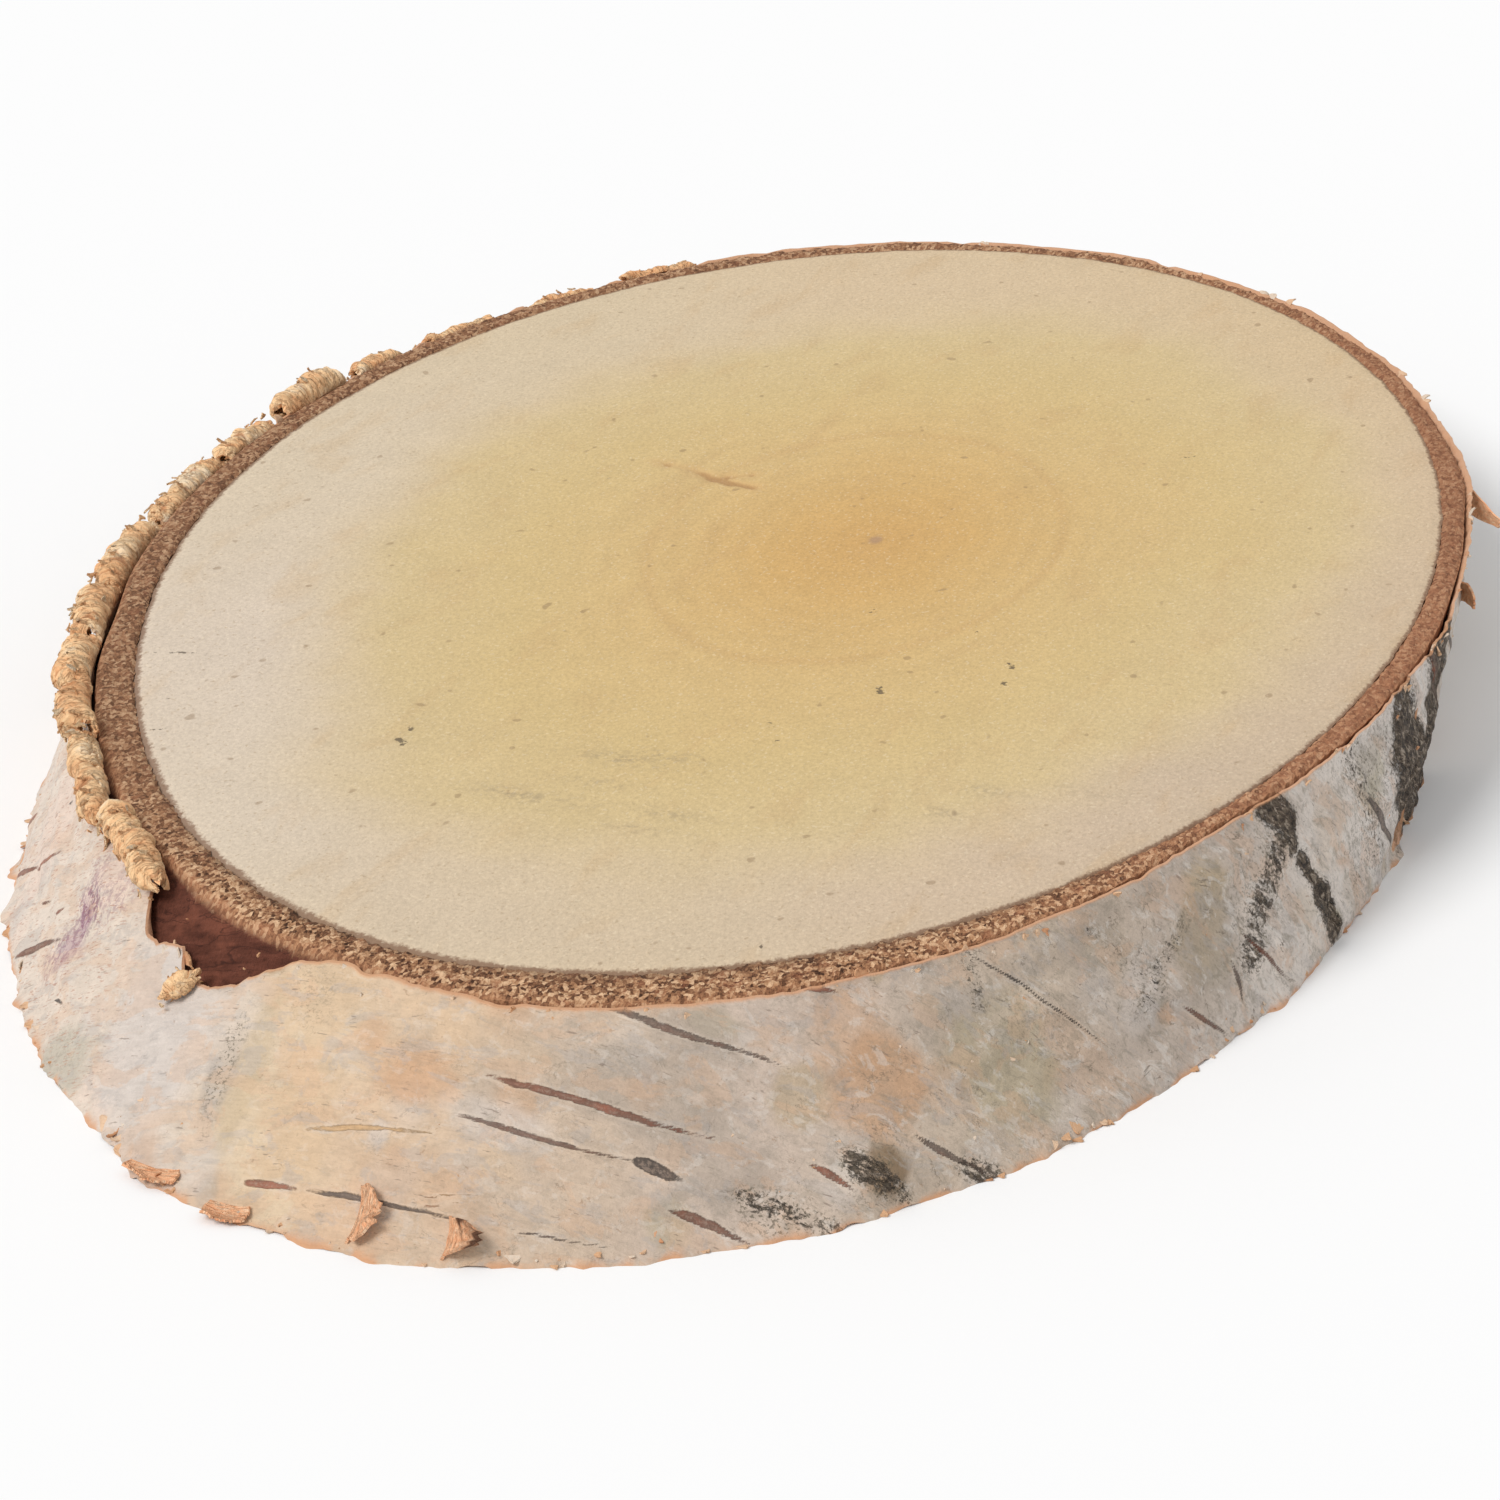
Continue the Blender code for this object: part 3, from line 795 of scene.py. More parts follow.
def lenticels_behind():
    """Lenticels on the side that the camera doesn't see, each running round the trunk."""
    rng = np.random.default_rng(9)
    marks = []
    for middle in np.arange(262, FRONT[0] + 356, 5.2):
        middle = middle + rng.uniform(-2, 2)
        level = rng.uniform(2, 16)
        half = rng.uniform(2.0, 9.0)
        x, y = unrolled(middle, level)
        slant = rng.uniform(-0.03, 0.03)
        width = 0.25 + 0.035 * half + rng.uniform(0, 0.12)
        marks.append((x - half, y - slant * half, x + half, y + slant * half, width, rng.uniform(0.1, 0.9)))
    return marks


def lenticel_marks():
    marks = []
    for start, low, end, high, width, kind in LENTICELS:
        marks.append((*unrolled(start, low), *unrolled(end, high), 0.8 * width, kind))
    return marks + lenticels_behind()


def tone_and_shade_at(degrees, height, rough):
    """The paper's colour before its fine detail, with painted shade across the front of the wall."""
    tone_and_shade = colour_round(TONES_AND_SHADE, degrees + 2.5 * noise(rough, 9.0, 83))
    warp = 0.42 * layered(rough, 6.0, 4, 81) + 0.14 * noise(rough, 0.9, 82)
    for *spot, name, strength in (*patches(), *STAINS, *stains_behind()):
        share = strength * blot(degrees, height, spot, warp, 0.5, 1.05)
        tone_and_shade += (linear(PALETTE[name]) - tone_and_shade) * share[..., None]
    return tone_and_shade


def make_paper():
    columns = columns_round(0.36, 1.05)
    outer = np.linspace(0, 1, 72)
    levels = [(share, 0.0, 1.0) for share in outer]
    levels += [(1.0, depth, 0.0) for depth in (0.5, 1.0)]
    levels += [(share, 1.0, 0.0) for share in (0.93, 0.6, 0.3, 0.0)]
    levels += [(0.0, 0.5, 0.0)]
    share, depth, wall = spread(levels, columns)
    rim = rim_height(columns)
    ring = in_trunk(columns, WOOD_RADIUS + 0 * columns, 0 * columns)
    sole = 0.22 * step(noise(ring, 2.6, 91), 0.2, 0.7)
    height = sole + share * (rim - sole)
    base = outer_radius(columns, height)
    rough = in_trunk(columns, base, height)
    crust = crust_at(columns, height, rough)
    x, y = unrolled(columns, height)
    marks = lenticel_marks()
    x = x + 0.4 * noise(rough, 2.4, 65)
    y = y + 0.14 * noise(rough, 3.0, 66) + 0.08 * noise(rough, 0.8, 67)
    mark, kind = mark_field(x, y, marks, 0.3)
    raised = step(mark, -0.25, 0.2) - 0.5 * step(mark, 0.15, 0.5)
    relief = 0.22 * layered(rough, 9.0, 3, 51) + 0.07 * layered(rough, (6.0, 6.0, 0.9), 2, 52)
    relief += 0.03 * noise(rough, 0.7, 53)
    relief += crust * (0.55 * layered(rough, 2.4, 3, 54) - 0.75 * ridged(rough, (4, 4, 3), 2, 55) + 0.25)
    relief += 0.12 * raised
    below_rim = (rim - height) / math.cos(TILT)
    lift = torn(columns, 1.5) * (0.35 + 0.35 * noise(ring, 2.4, 56)) * np.exp(-below_rim / 1.3)
    lift = lift + (0.06 + 0.14 * noise(ring, 1.9, 57)) * np.exp(-below_rim / 0.7)
    lip = 0.1 + 0.75 * step(noise(ring, 3.2, 58), 0.1, 0.9) + 0.15 * noise(ring, 0.9, 59)
    lip = lip * np.exp(-height / 0.8)
    outside = base + relief + lift + lip
    thick = PAPER * (0.45 + 0.55 * step(below_rim, 0.0, 2.0))
    radius = outside - thick * depth
    points = place(columns, radius, height)
    on_edge = np.maximum(np.exp(-below_rim / 0.25) * 0.6, 1 - wall)
    foot_edge = np.exp(-height / 0.45) * step(noise(ring, 2.2, 60), -0.5, 0.4)
    attributes = {
        "trunk": rough,
        # The paper's colour with its stains, and painted shade on the front of the wall
        "tone_and_shade": tone_and_shade_at(columns, height, rough),
        "crust": crust,
        "mark": mark,
        "kind": kind,
        "edge": np.maximum(on_edge, foot_edge),
        "speckle": speckle_at(columns, height, rough, SPECKLED),
        "purple": speckle_at(columns, height, rough, PURPLE_SPECKS),
        "left": 1 - step(columns, 150, 162),
        "mottle": periodic(MOTTLED, columns),
    }
    quads = grid_faces(len(levels), len(columns), closed_rows=True, closed_columns=True)
    return piece_of("paper_bark", points, [quads], attributes)


def speckle_at(degrees, height, rough, table):
    """How thickly specks lie on the paper, 0 to 1."""
    total = np.zeros(np.broadcast(degrees, height).shape)
    warp = 0.35 * layered(rough, 3.0, 2, 95)
    for *spot, strength in table:
        total = np.maximum(total, strength * blot(degrees, height, spot, warp, 0.3, 1.2))
    return total


# Rolled edges, tongues and flakes
def roll_of(start, end, radius, seed):
    """A crumpled spiral strip of paper, rooted in the wall along a line from start to end."""
    ends, _, _, _ = wall_frame(np.array([start[0], end[0]]), np.array([start[1], end[1]]))
    length = np.linalg.norm(ends[1] - ends[0])
    rows = max(24, int(length / 0.17))
    share = np.linspace(0, 1, rows)
    degrees = start[0] + (end[0] - start[0]) * share
    height = start[1] + (end[1] - start[1]) * share
    here, outwards, _, _ = wall_frame(degrees, height)
    along = unit(np.gradient(here, axis=0))
    side = unit(np.cross(outwards, along))
    from_end = np.minimum(share, 1 - share) * length
    part = np.linspace(0, 1, 34)[None, :]
    run = (share * length)[:, None]
    where = stacked(run, part * 5.0 * radius, seed * 10.0)
    bent = where + 0.9 * noise(where, 2.2, 3)[..., None] * np.array((1.0, 0.0, 0.0))
    crease = np.maximum(
        (1 - np.abs(noise(bent, (0.95, 6.0, 5.0), 7))) ** 5,
        0.7 * (1 - np.abs(noise(bent, (0.6, 2.2, 5.0), 8))) ** 5
    )
    lumps = 0.28 * noise(where, (2.2, 3.0, 3.0), 11) + 0.24 * noise(where, (0.9, 1.4, 3.0), 13)
    lumps = lumps + 0.12 * noise(where, (0.42, 0.7, 3.0), 14)
    rooted = step(part, 0.0, 0.12)
    full = (ROLL_ENDS + (1 - ROLL_ENDS) * step(from_end, 0.0, 1.6)) * (1 + 0.12 * noise(where[:, 0], 3.0, 15))
    width = (radius * full)[:, None] + (lumps - 0.50 * crease + 0.10) * rooted
    turn = ROLL_TURN * (0.96 + 0.04 * noise(where, (2.0, 99.0, 3.0), 17)) * part
    closing = ROLL_SHRINK + 0.45 * (1 - step(from_end, 0.0, 1.0))[:, None]
    spiral = width * (1 - closing * part) - ROLL_PAPER / 2
    sway = 0.25 * noise(where[:, 0], 2.4, 16)
    middle = here + outwards * (radius * full - ROOT_DEPTH)[:, None] + side * sway[:, None]
    direction = side[:, None] * np.sin(turn)[..., None] - outwards[:, None] * np.cos(turn)[..., None]
    points = middle[:, None] + direction * spiral[..., None]
    ragged = noise(where, (99.0, 1.3, 3.0), 19) * 0.8 + noise(where, (99.0, 0.5, 3.0), 23) * 0.4
    reach = np.clip(1 - from_end / 1.8, 0, 1)[:, None] * np.where(share < 0.5, -1, 1)[:, None]
    points = points + along[:, None] * (reach * ragged * rooted)[..., None]
    attributes = {
        "trunk": where + seed * 3.1,
        # Painted shade in the roll's creases and at its open ends
        "hollow_shade": np.maximum(crease * rooted, 0.6 * np.abs(reach) ** 3),
        "tint": 0.5 + 0.5 * noise(where, (3.0, 3.0, 3.0), 29),
        "peach": 0.0,
    }
    return slab(points, ROLL_PAPER * (1 - 0.45 * part), attributes)


def scales_on(start, end, radius, seed):
    """Small torn flakes that stand off a roll."""
    rng = np.random.default_rng(100 + seed)
    parts = []
    for k in range(int(abs(end[0] - start[0]) * 3.2)):
        share = rng.uniform(-0.02, 1.02)
        place_on = np.array([start[0], start[0] + 1.0]) + (end[0] - start[0]) * share
        level = start[1] + (end[1] - start[1]) * share
        spots, outwards, _, _ = wall_frame(place_on, np.array([level, level]))
        here, outwards = spots[0], outwards[0]
        along = unit(spots[1] - here)
        side = unit(np.cross(outwards, along))
        turn = math.radians(rng.uniform(60, 290))
        direction = side * math.sin(turn) - outwards * math.cos(turn)
        round_roll = side * math.cos(turn) + outwards * math.sin(turn)
        lean = rng.normal(0, 0.6)
        away = round_roll * math.cos(lean) + along * math.sin(lean)
        base = here + outwards * (radius - ROOT_DEPTH) + direction * radius * 0.97
        size = rng.uniform(0.5, 1.5)
        width, curl = size * rng.uniform(0.4, 1.0), rng.uniform(-0.5, 0.9)
        parts.append(flake_from(base, direction, away, size, width, curl, k))
    for _, _, attributes in parts:
        attributes["peach"] = np.zeros(len(attributes["tint"]))
    return parts


def strip_of(path, width, up_the_wall, dark, seed):
    """A torn tongue of paper along a path of (angle, height, how far off the wall)."""
    steps, across_steps = 20, 17
    share = np.linspace(0, len(path) - 1, steps)
    columns = [np.interp(share, np.arange(len(path)), [point[k] for point in path]) for k in range(3)]
    here, outwards, round_trunk, up_wall = wall_frame(columns[0], columns[1])
    middle = here + outwards * columns[2][:, None]
    middle[1:-1] = (middle[:-2] + 2 * middle[1:-1] + middle[2:]) / 4
    along = unit(np.gradient(middle, axis=0))
    across = up_wall if up_the_wall else round_trunk
    flat = unit(across - (across * along).sum(-1, keepdims=True) * along)
    half = width / 2 * np.interp(share, np.arange(len(path)), TONGUE_WIDTHS)
    side = np.linspace(-1, 1, across_steps)
    where = stacked(share[:, None] * 1.2, side * 2, seed * 7.0)
    ragged = 1 + 0.22 * noise(where, (0.8, 9.0, 3.0), 31)
    curve = np.cross(along, flat)
    cupped = 0.16 * half[:, None] * (side**2)[None, :] + 0.10 * noise(where, 0.9, 33)
    spread = half[:, None] * side[None, :] * ragged
    points = middle[:, None] + flat[:, None] * spread[..., None] + curve[:, None] * cupped[..., None]
    far_end = (share / share[-1])[:, None]
    jag = 0.5 * noise(where, (99.0, 0.5, 3.0), 39) * far_end**2
    points = points + along[:, None] * jag[..., None]
    points[..., 2] = np.maximum(points[..., 2], 0.25)
    attributes = {
        "trunk": where * 1.5,
        # Creases, and painted shade over the far part of the tongue given dark
        "hollow_shade": 0.5 * ridged(where, (0.7, 3, 3), 2, 35) + dark * step(far_end + 0.15 * side, 0.42, 0.62),
        "tint": 0.5 + 0.5 * noise(where, 1.5, 37),
        "peach": 1.0,
    }
    return slab(points, 0.24, attributes)


def flake_from(here, outwards, away, length, width, curl, seed):
    """A small torn flake rooted at a point, pointing away and curling outwards."""
    steps, across_steps = 7, 5
    beside = np.cross(outwards, away)
    share = np.linspace(0, 1, steps)
    turn = curl * share
    run = np.cumsum(np.cos(turn)) / steps * length
    rise = np.cumsum(np.sin(turn)) / steps * length
    side = np.linspace(-1, 1, across_steps)
    where = stacked(share[:, None] * length, side * width, seed * 5.3)
    half = width / 2 * (1 - share**1.6 * 0.85)
    spread = half[:, None] * side[None, :] * (1 + 0.3 * noise(where, 0.5, 41)) + 0.15 * noise(where, 0.7, 43)
    points = here - outwards * 0.18 + away * run[:, None, None] + outwards * rise[:, None, None]
    points = points + beside * spread[..., None] + outwards * (0.08 * noise(where, 0.6, 47))[..., None]
    points[..., 2] = np.maximum(points[..., 2], 0.14)
    # A little painted shade, growing towards the flake's tip
    attributes = {"trunk": where * 2 + seed, "hollow_shade": 0.3 * share[:, None], "tint": (seed * 0.618) % 1}
    return slab(points, 0.16, attributes)


def flake_of(degrees, height, length, width, lean, curl, seed):
    """A flake rooted in the wall: lean is which way it points (0 up the wall, 90 round the trunk)."""
    here, outwards, round_trunk, up_wall = (v[0] for v in wall_frame(np.array([degrees]), np.array([height])))
    away = math.cos(math.radians(lean)) * up_wall + math.sin(math.radians(lean)) * round_trunk
    return flake_from(here, outwards, away, length, width, curl, seed)


def make_curls():
    parts = [roll_of(start, end, radius, k) for k, (start, end, radius) in enumerate(ROLLS)]
    for k, (start, end, radius) in enumerate(ROLLS):
        parts += scales_on(start, end, radius, k)
    for k, (path, width, up) in enumerate(TONGUES):
        parts.append(strip_of(path, width, up, k == SHADED_TONGUE, k + 20))
    points, faces, attributes = joined(parts)
    return piece_of("bark_curls", points, faces, attributes, sharp=60)


def make_flakes():
    rng = np.random.default_rng(12)
    parts = []
    for k in range(EDGE_FLAKES):
        degrees = rng.uniform(0, 360)
        at_foot = rng.random() < 0.62
        near_tear = abs(turned(degrees, 135)) < 30
        size = rng.uniform(0.5, 1.5) * (1.25 if near_tear else 1.0)
        if at_foot:
            height = rng.uniform(0.3, 1.4)
            lean = 180 + rng.normal(0, 40)
        else:
            height = float(rim_height(np.array([degrees]))[0]) - rng.uniform(0.3, 1.3)
            lean = rng.normal(0, 45)
        width, curl = size * rng.uniform(0.5, 1.3), rng.uniform(0.3, 1.5)
        parts.append(flake_of(degrees, height, size, width, lean, curl, k))
    for k in range(WALL_FLAKES):
        degrees, height = rng.uniform(112, 292), rng.uniform(1.5, 16)
        size = rng.uniform(0.3, 0.9)
        lean = 90 * rng.choice((-1, 1)) + rng.normal(0, 25)
        parts.append(flake_of(degrees, height, size, size * 0.5, lean, rng.uniform(0.15, 0.6), 500 + k))
    points, faces, attributes = joined(parts)
    return piece_of("bark_flakes", points, faces, attributes, sharp=60)


# Materials
class Nodes:
    """A material's nodes, made and joined by short calls. A socket is given a number, a colour or a socket.
    The colour is laid on coat by coat, and the textures are fixed to the trunk.
    """

    def __init__(self, name, roughness, specular):
        self.material = bpy.data.materials.new(name)
        self.material.use_nodes = True
        self.tree = self.material.node_tree
        self.shader = self.tree.nodes["Principled BSDF"]
        self.shader.inputs["Specular IOR Level"].default_value = specular
        self.shader.inputs["Roughness"].default_value = roughness
        self.trunk = self.attribute("trunk", "Vector")
        self.colour = None

    def put(self, socket, value):
        if isinstance(value, bpy.types.NodeSocket):
            self.tree.links.new(value, socket)
        elif hasattr(value, "__len__") and len(value) == 3 and socket.type == "RGBA":
            socket.default_value = (*value, 1.0)
        else:
            socket.default_value = value

    def attribute(self, name, output="Fac"):
        node = self.tree.nodes.new("ShaderNodeAttribute")
        node.attribute_name = name
        return node.outputs[output]

    def math(self, operation, *values):
        node = self.tree.nodes.new("ShaderNodeMath")
        node.operation = operation
        for socket, value in zip(node.inputs, values):
            self.put(socket, value)
        return node.outputs[0]

    def times(self, first, second):
        return self.math("MULTIPLY", first, second)

    def plus(self, value, factor, added):
        """The value times the factor, plus what is added."""
        return self.math("MULTIPLY_ADD", value, factor, added)

    def inverse(self, value):
        return self.math("SUBTRACT", 1.0, value)

    def texture(self, kind, sizes):
        """A texture whose patches are these sizes in the trunk's own frame."""
        scaled = self.tree.nodes.new("ShaderNodeVectorMath")
        scaled.operation = "DIVIDE"
        self.put(scaled.inputs[0], self.trunk)
        scaled.inputs[1].default_value = sizes
        node = self.tree.nodes.new(kind)
        self.put(node.inputs["Vector"], scaled.outputs[0])
        node.inputs["Scale"].default_value = 1.0
        return node

    def noise(self, sizes, detail=2, rough=0.5, bend=0):
        """Noise from 0 to 1."""
        node = self.texture("ShaderNodeTexNoise", sizes)
        node.inputs["Detail"].default_value = detail
        node.inputs["Roughness"].default_value = rough
        node.inputs["Distortion"].default_value = bend
        return node.outputs["Fac"]

    def grains(self, sizes):
        """A number from 0 to 1 for each grain."""
        node = self.tree.nodes.new("ShaderNodeSeparateXYZ")
        self.put(node.inputs[0], self.texture("ShaderNodeTexVoronoi", sizes).outputs["Color"])
        return node.outputs[0]

    def step(self, value, low, high):
        node = self.tree.nodes.new("ShaderNodeMapRange")
        node.interpolation_type = "SMOOTHSTEP"
        self.put(node.inputs["Value"], value)
        self.put(node.inputs["From Min"], low)
        self.put(node.inputs["From Max"], high)
        return node.outputs["Result"]

    def patches(self, low, high, *noise):
        """The high parts of a noise, whose edges run from low to high."""
        return self.step(self.noise(*noise), low, high)

    def line(self, value, low, high):
        """1 where the value passes through zero, 0 away from there."""
        return self.inverse(self.step(self.math("ABSOLUTE", value), low, high))

    def cracks(self, low, high, *noise):
        """Thin winding lines, where a noise passes through its middle."""
        return self.line(self.math("SUBTRACT", self.noise(*noise), 0.5), low, high)

    def mix(self, share, first, second):
        node = self.tree.nodes.new("ShaderNodeMix")
        node.data_type = "RGBA"
        self.put(node.inputs["Factor"], share)
        self.put(node.inputs[6], first)
        self.put(node.inputs[7], second)
        return node.outputs[2]

    def ramp(self, value, stops):
        """A colour at each position from 0 to 1, as (position, (red, green, blue) from 0 to 255)."""
        node = self.tree.nodes.new("ShaderNodeValToRGB")
        elements = node.color_ramp.elements
        while len(elements) < len(stops):
            elements.new(0.5)
        for element, (position, colour) in zip(elements, stops):
            element.position = position
            element.color = (*linear(colour), 1.0)
        self.put(node.inputs["Fac"], value)
        return node.outputs["Color"]

    def tinted(self, colour, dark, light, value):
        """The colour, darker or lighter by a value from 0 to 1."""
        node = self.tree.nodes.new("ShaderNodeVectorMath")
        node.operation = "SCALE"
        self.put(node.inputs[0], colour)
        self.put(node.inputs["Scale"], self.plus(value, light - dark, dark))
        return node.outputs[0]

    def tint(self, dark, light, value):
        self.colour = self.tinted(self.colour, dark, light, value)

    def cover(self, colour, share):
        self.colour = self.mix(share, self.colour, colour)

    def paint(self, shade, strength, *shares):
        """Lays on a coat as strong as this strength times the shares, which run from 0 to 1."""
        share = shares[0]
        for other in (*shares[1:], strength):
            share = self.times(share, other)
        self.cover(linear(shade), share)

    def finish(self, height, depth, roughness=None):
        """Joins the colour, a bump of this depth in millimetres, and maybe a roughness to the shader."""
        self.put(self.shader.inputs["Base Color"], self.colour)
        bump = self.tree.nodes.new("ShaderNodeBump")
        bump.inputs["Distance"].default_value = depth * MM
        self.put(bump.inputs["Height"], height)
        self.put(self.shader.inputs["Normal"], bump.outputs[0])
        if roughness is not None:
            self.put(self.shader.inputs["Roughness"], roughness)
        return self.material


def mark_share(nodes, ragged, blur):
    """How much of a mark shows: 1 inside it, 0 outside, with an edge made ragged by a value from 0 to 1."""
    inside = nodes.plus(ragged, 0.44, nodes.math("SUBTRACT", nodes.attribute("mark"), 0.22))
    return nodes.step(inside, -blur, blur)


def wood_material():
    nodes = Nodes("birch_wood", 0.72, 0.3)
    ring = nodes.attribute("ring")
    zone = nodes.attribute("zone")
    check = nodes.attribute("check")
    nodes.colour = nodes.ramp(zone, WOOD_MIDDLE)
    nodes.cover(nodes.attribute("sap", "Vector"), nodes.step(zone, 0.85, 1.12))
    wobble = nodes.noise((9, 9, 60))
    waves = nodes.times(nodes.plus(wobble, 3, nodes.times(ring, 56)), 2.4)
    waves = nodes.times(nodes.math("SINE", waves), nodes.inverse(nodes.step(ring, 0.3, 0.62)))
    nodes.tint(0.975, 1, nodes.times(waves, nodes.noise((7, 7, 60), 1)))
    strong = nodes.math("SUBTRACT", ring, nodes.plus(wobble, 0.03, 0.31))
    nodes.paint((190, 146, 96), 0.16, nodes.line(strong, 0, 0.018))
    soft = nodes.noise((6, 6, 14), 3, 0.6)
    nodes.tint(0.92, 1.04, soft)
    nodes.paint((196, 160, 112), 0.22, nodes.patches(0.52, 0.72, (14, 5, 16), 3, 0.55, 0.4))
    fine = nodes.noise((0.42, 0.42, 0.9), 2, 0.65)
    nodes.tint(0.76, 1.23, fine)
    nodes.paint((243, 226, 196), 0.26, nodes.patches(0.66, 0.8, (0.36, 0.36, 0.6), 0))
    dark = nodes.patches(0.64, 0.76, (0.5, 0.5, 0.7), 1)
    nodes.paint((168, 142, 108), 0.42, dark, nodes.step(zone, 0.5, 1.2))
    nodes.paint((140, 112, 82), 0.45, nodes.patches(0.8, 0.87, (1.5, 1.5, 2.2), 0))
    fleck = nodes.patches(0.42, 0.62, (1, 1, 1), 3, 0.7)
    nodes.paint((150, 134, 110), 1, nodes.attribute("smudge"), fleck)
    nodes.paint((206, 164, 112), 0.42, nodes.inverse(nodes.step(check, 0, 2.4)))
    nodes.paint((156, 108, 66), 0.5, nodes.inverse(nodes.step(check, 0, 0.8)))
    nodes.paint((164, 132, 112), 0.6, nodes.inverse(nodes.step(ring, 0.004, 0.016)))
    nodes.paint((84, 72, 58), 0.8, mark_share(nodes, fleck, 0.12))
    ragged = nodes.noise((0.5, 0.5, 0.8), 3, 0.7)
    nodes.paint((122, 86, 62), 0.8, nodes.step(nodes.plus(ragged, 0.016, ring), 0.9995, 1.006))
    return nodes.finish(nodes.plus(soft, 0.5, fine), 0.1)


def inner_bark_material():
    nodes = Nodes("birch_inner_bark", 0.9, 0.15)
    across = nodes.attribute("across")
    front = nodes.attribute("front")
    grain = nodes.grains((0.38, 0.38, 0.6))
    big = nodes.noise((1.9, 1.9, 3), 3, 0.6)
    fine = nodes.noise((0.26, 0.26, 0.4), 2, 0.65)
    value = nodes.plus(fine, 0.42, nodes.math("ADD", nodes.times(grain, 0.32), nodes.times(big, 0.34)))
    nodes.colour = nodes.ramp(value, RING_BROWNER)
    nodes.cover(nodes.ramp(value, RING_REDDER), nodes.attribute("red"))
    nodes.paint((150, 90, 64), 0.35, nodes.patches(0.52, 0.7, (1.3, 1.3, 2), 3))
    nodes.paint((214, 180, 148), 0.5, nodes.patches(0.7, 0.8, (0.5, 0.5, 0.8), 1))
    nodes.paint((156, 113, 85), 0.36, nodes.inverse(front))
    nodes.paint((84, 64, 50), 0.5, nodes.inverse(nodes.step(across, 0.05, 0.5)), front)
    nodes.tint(0, 1, nodes.attribute("light"))
    nodes.paint((190, 134, 98), 0.4, nodes.step(nodes.plus(fine, 0.2, across), 0.98, 1.12))
    face = nodes.colour
    streak = nodes.noise((4, 4, 0.8), 3, 0.6)
    nodes.colour = nodes.ramp(nodes.plus(fine, 0.25, nodes.times(streak, 0.8)), BARE_WALL)
    nodes.paint((128, 76, 58), 0.5, nodes.patches(0.5, 0.66, (5, 5, 3), 3, 0.6))
    nodes.paint((52, 28, 22), 0.6, nodes.cracks(0.003, 0.016, (7, 7, 2.2), 3, 0.5, 0.5))
    granular = nodes.plus(fine, 0.1, nodes.plus(big, 0.1, nodes.attribute("down")))
    granular = nodes.inverse(nodes.step(granular, 0.12, 0.17))
    nodes.cover(nodes.tinted(face, 0.85, 0.85, 0), nodes.times(granular, 0.75))
    nodes.colour = nodes.mix(nodes.attribute("wall"), face, nodes.colour)
    return nodes.finish(nodes.plus(grain, 0.5, nodes.plus(streak, 0.5, fine)), 0.22)


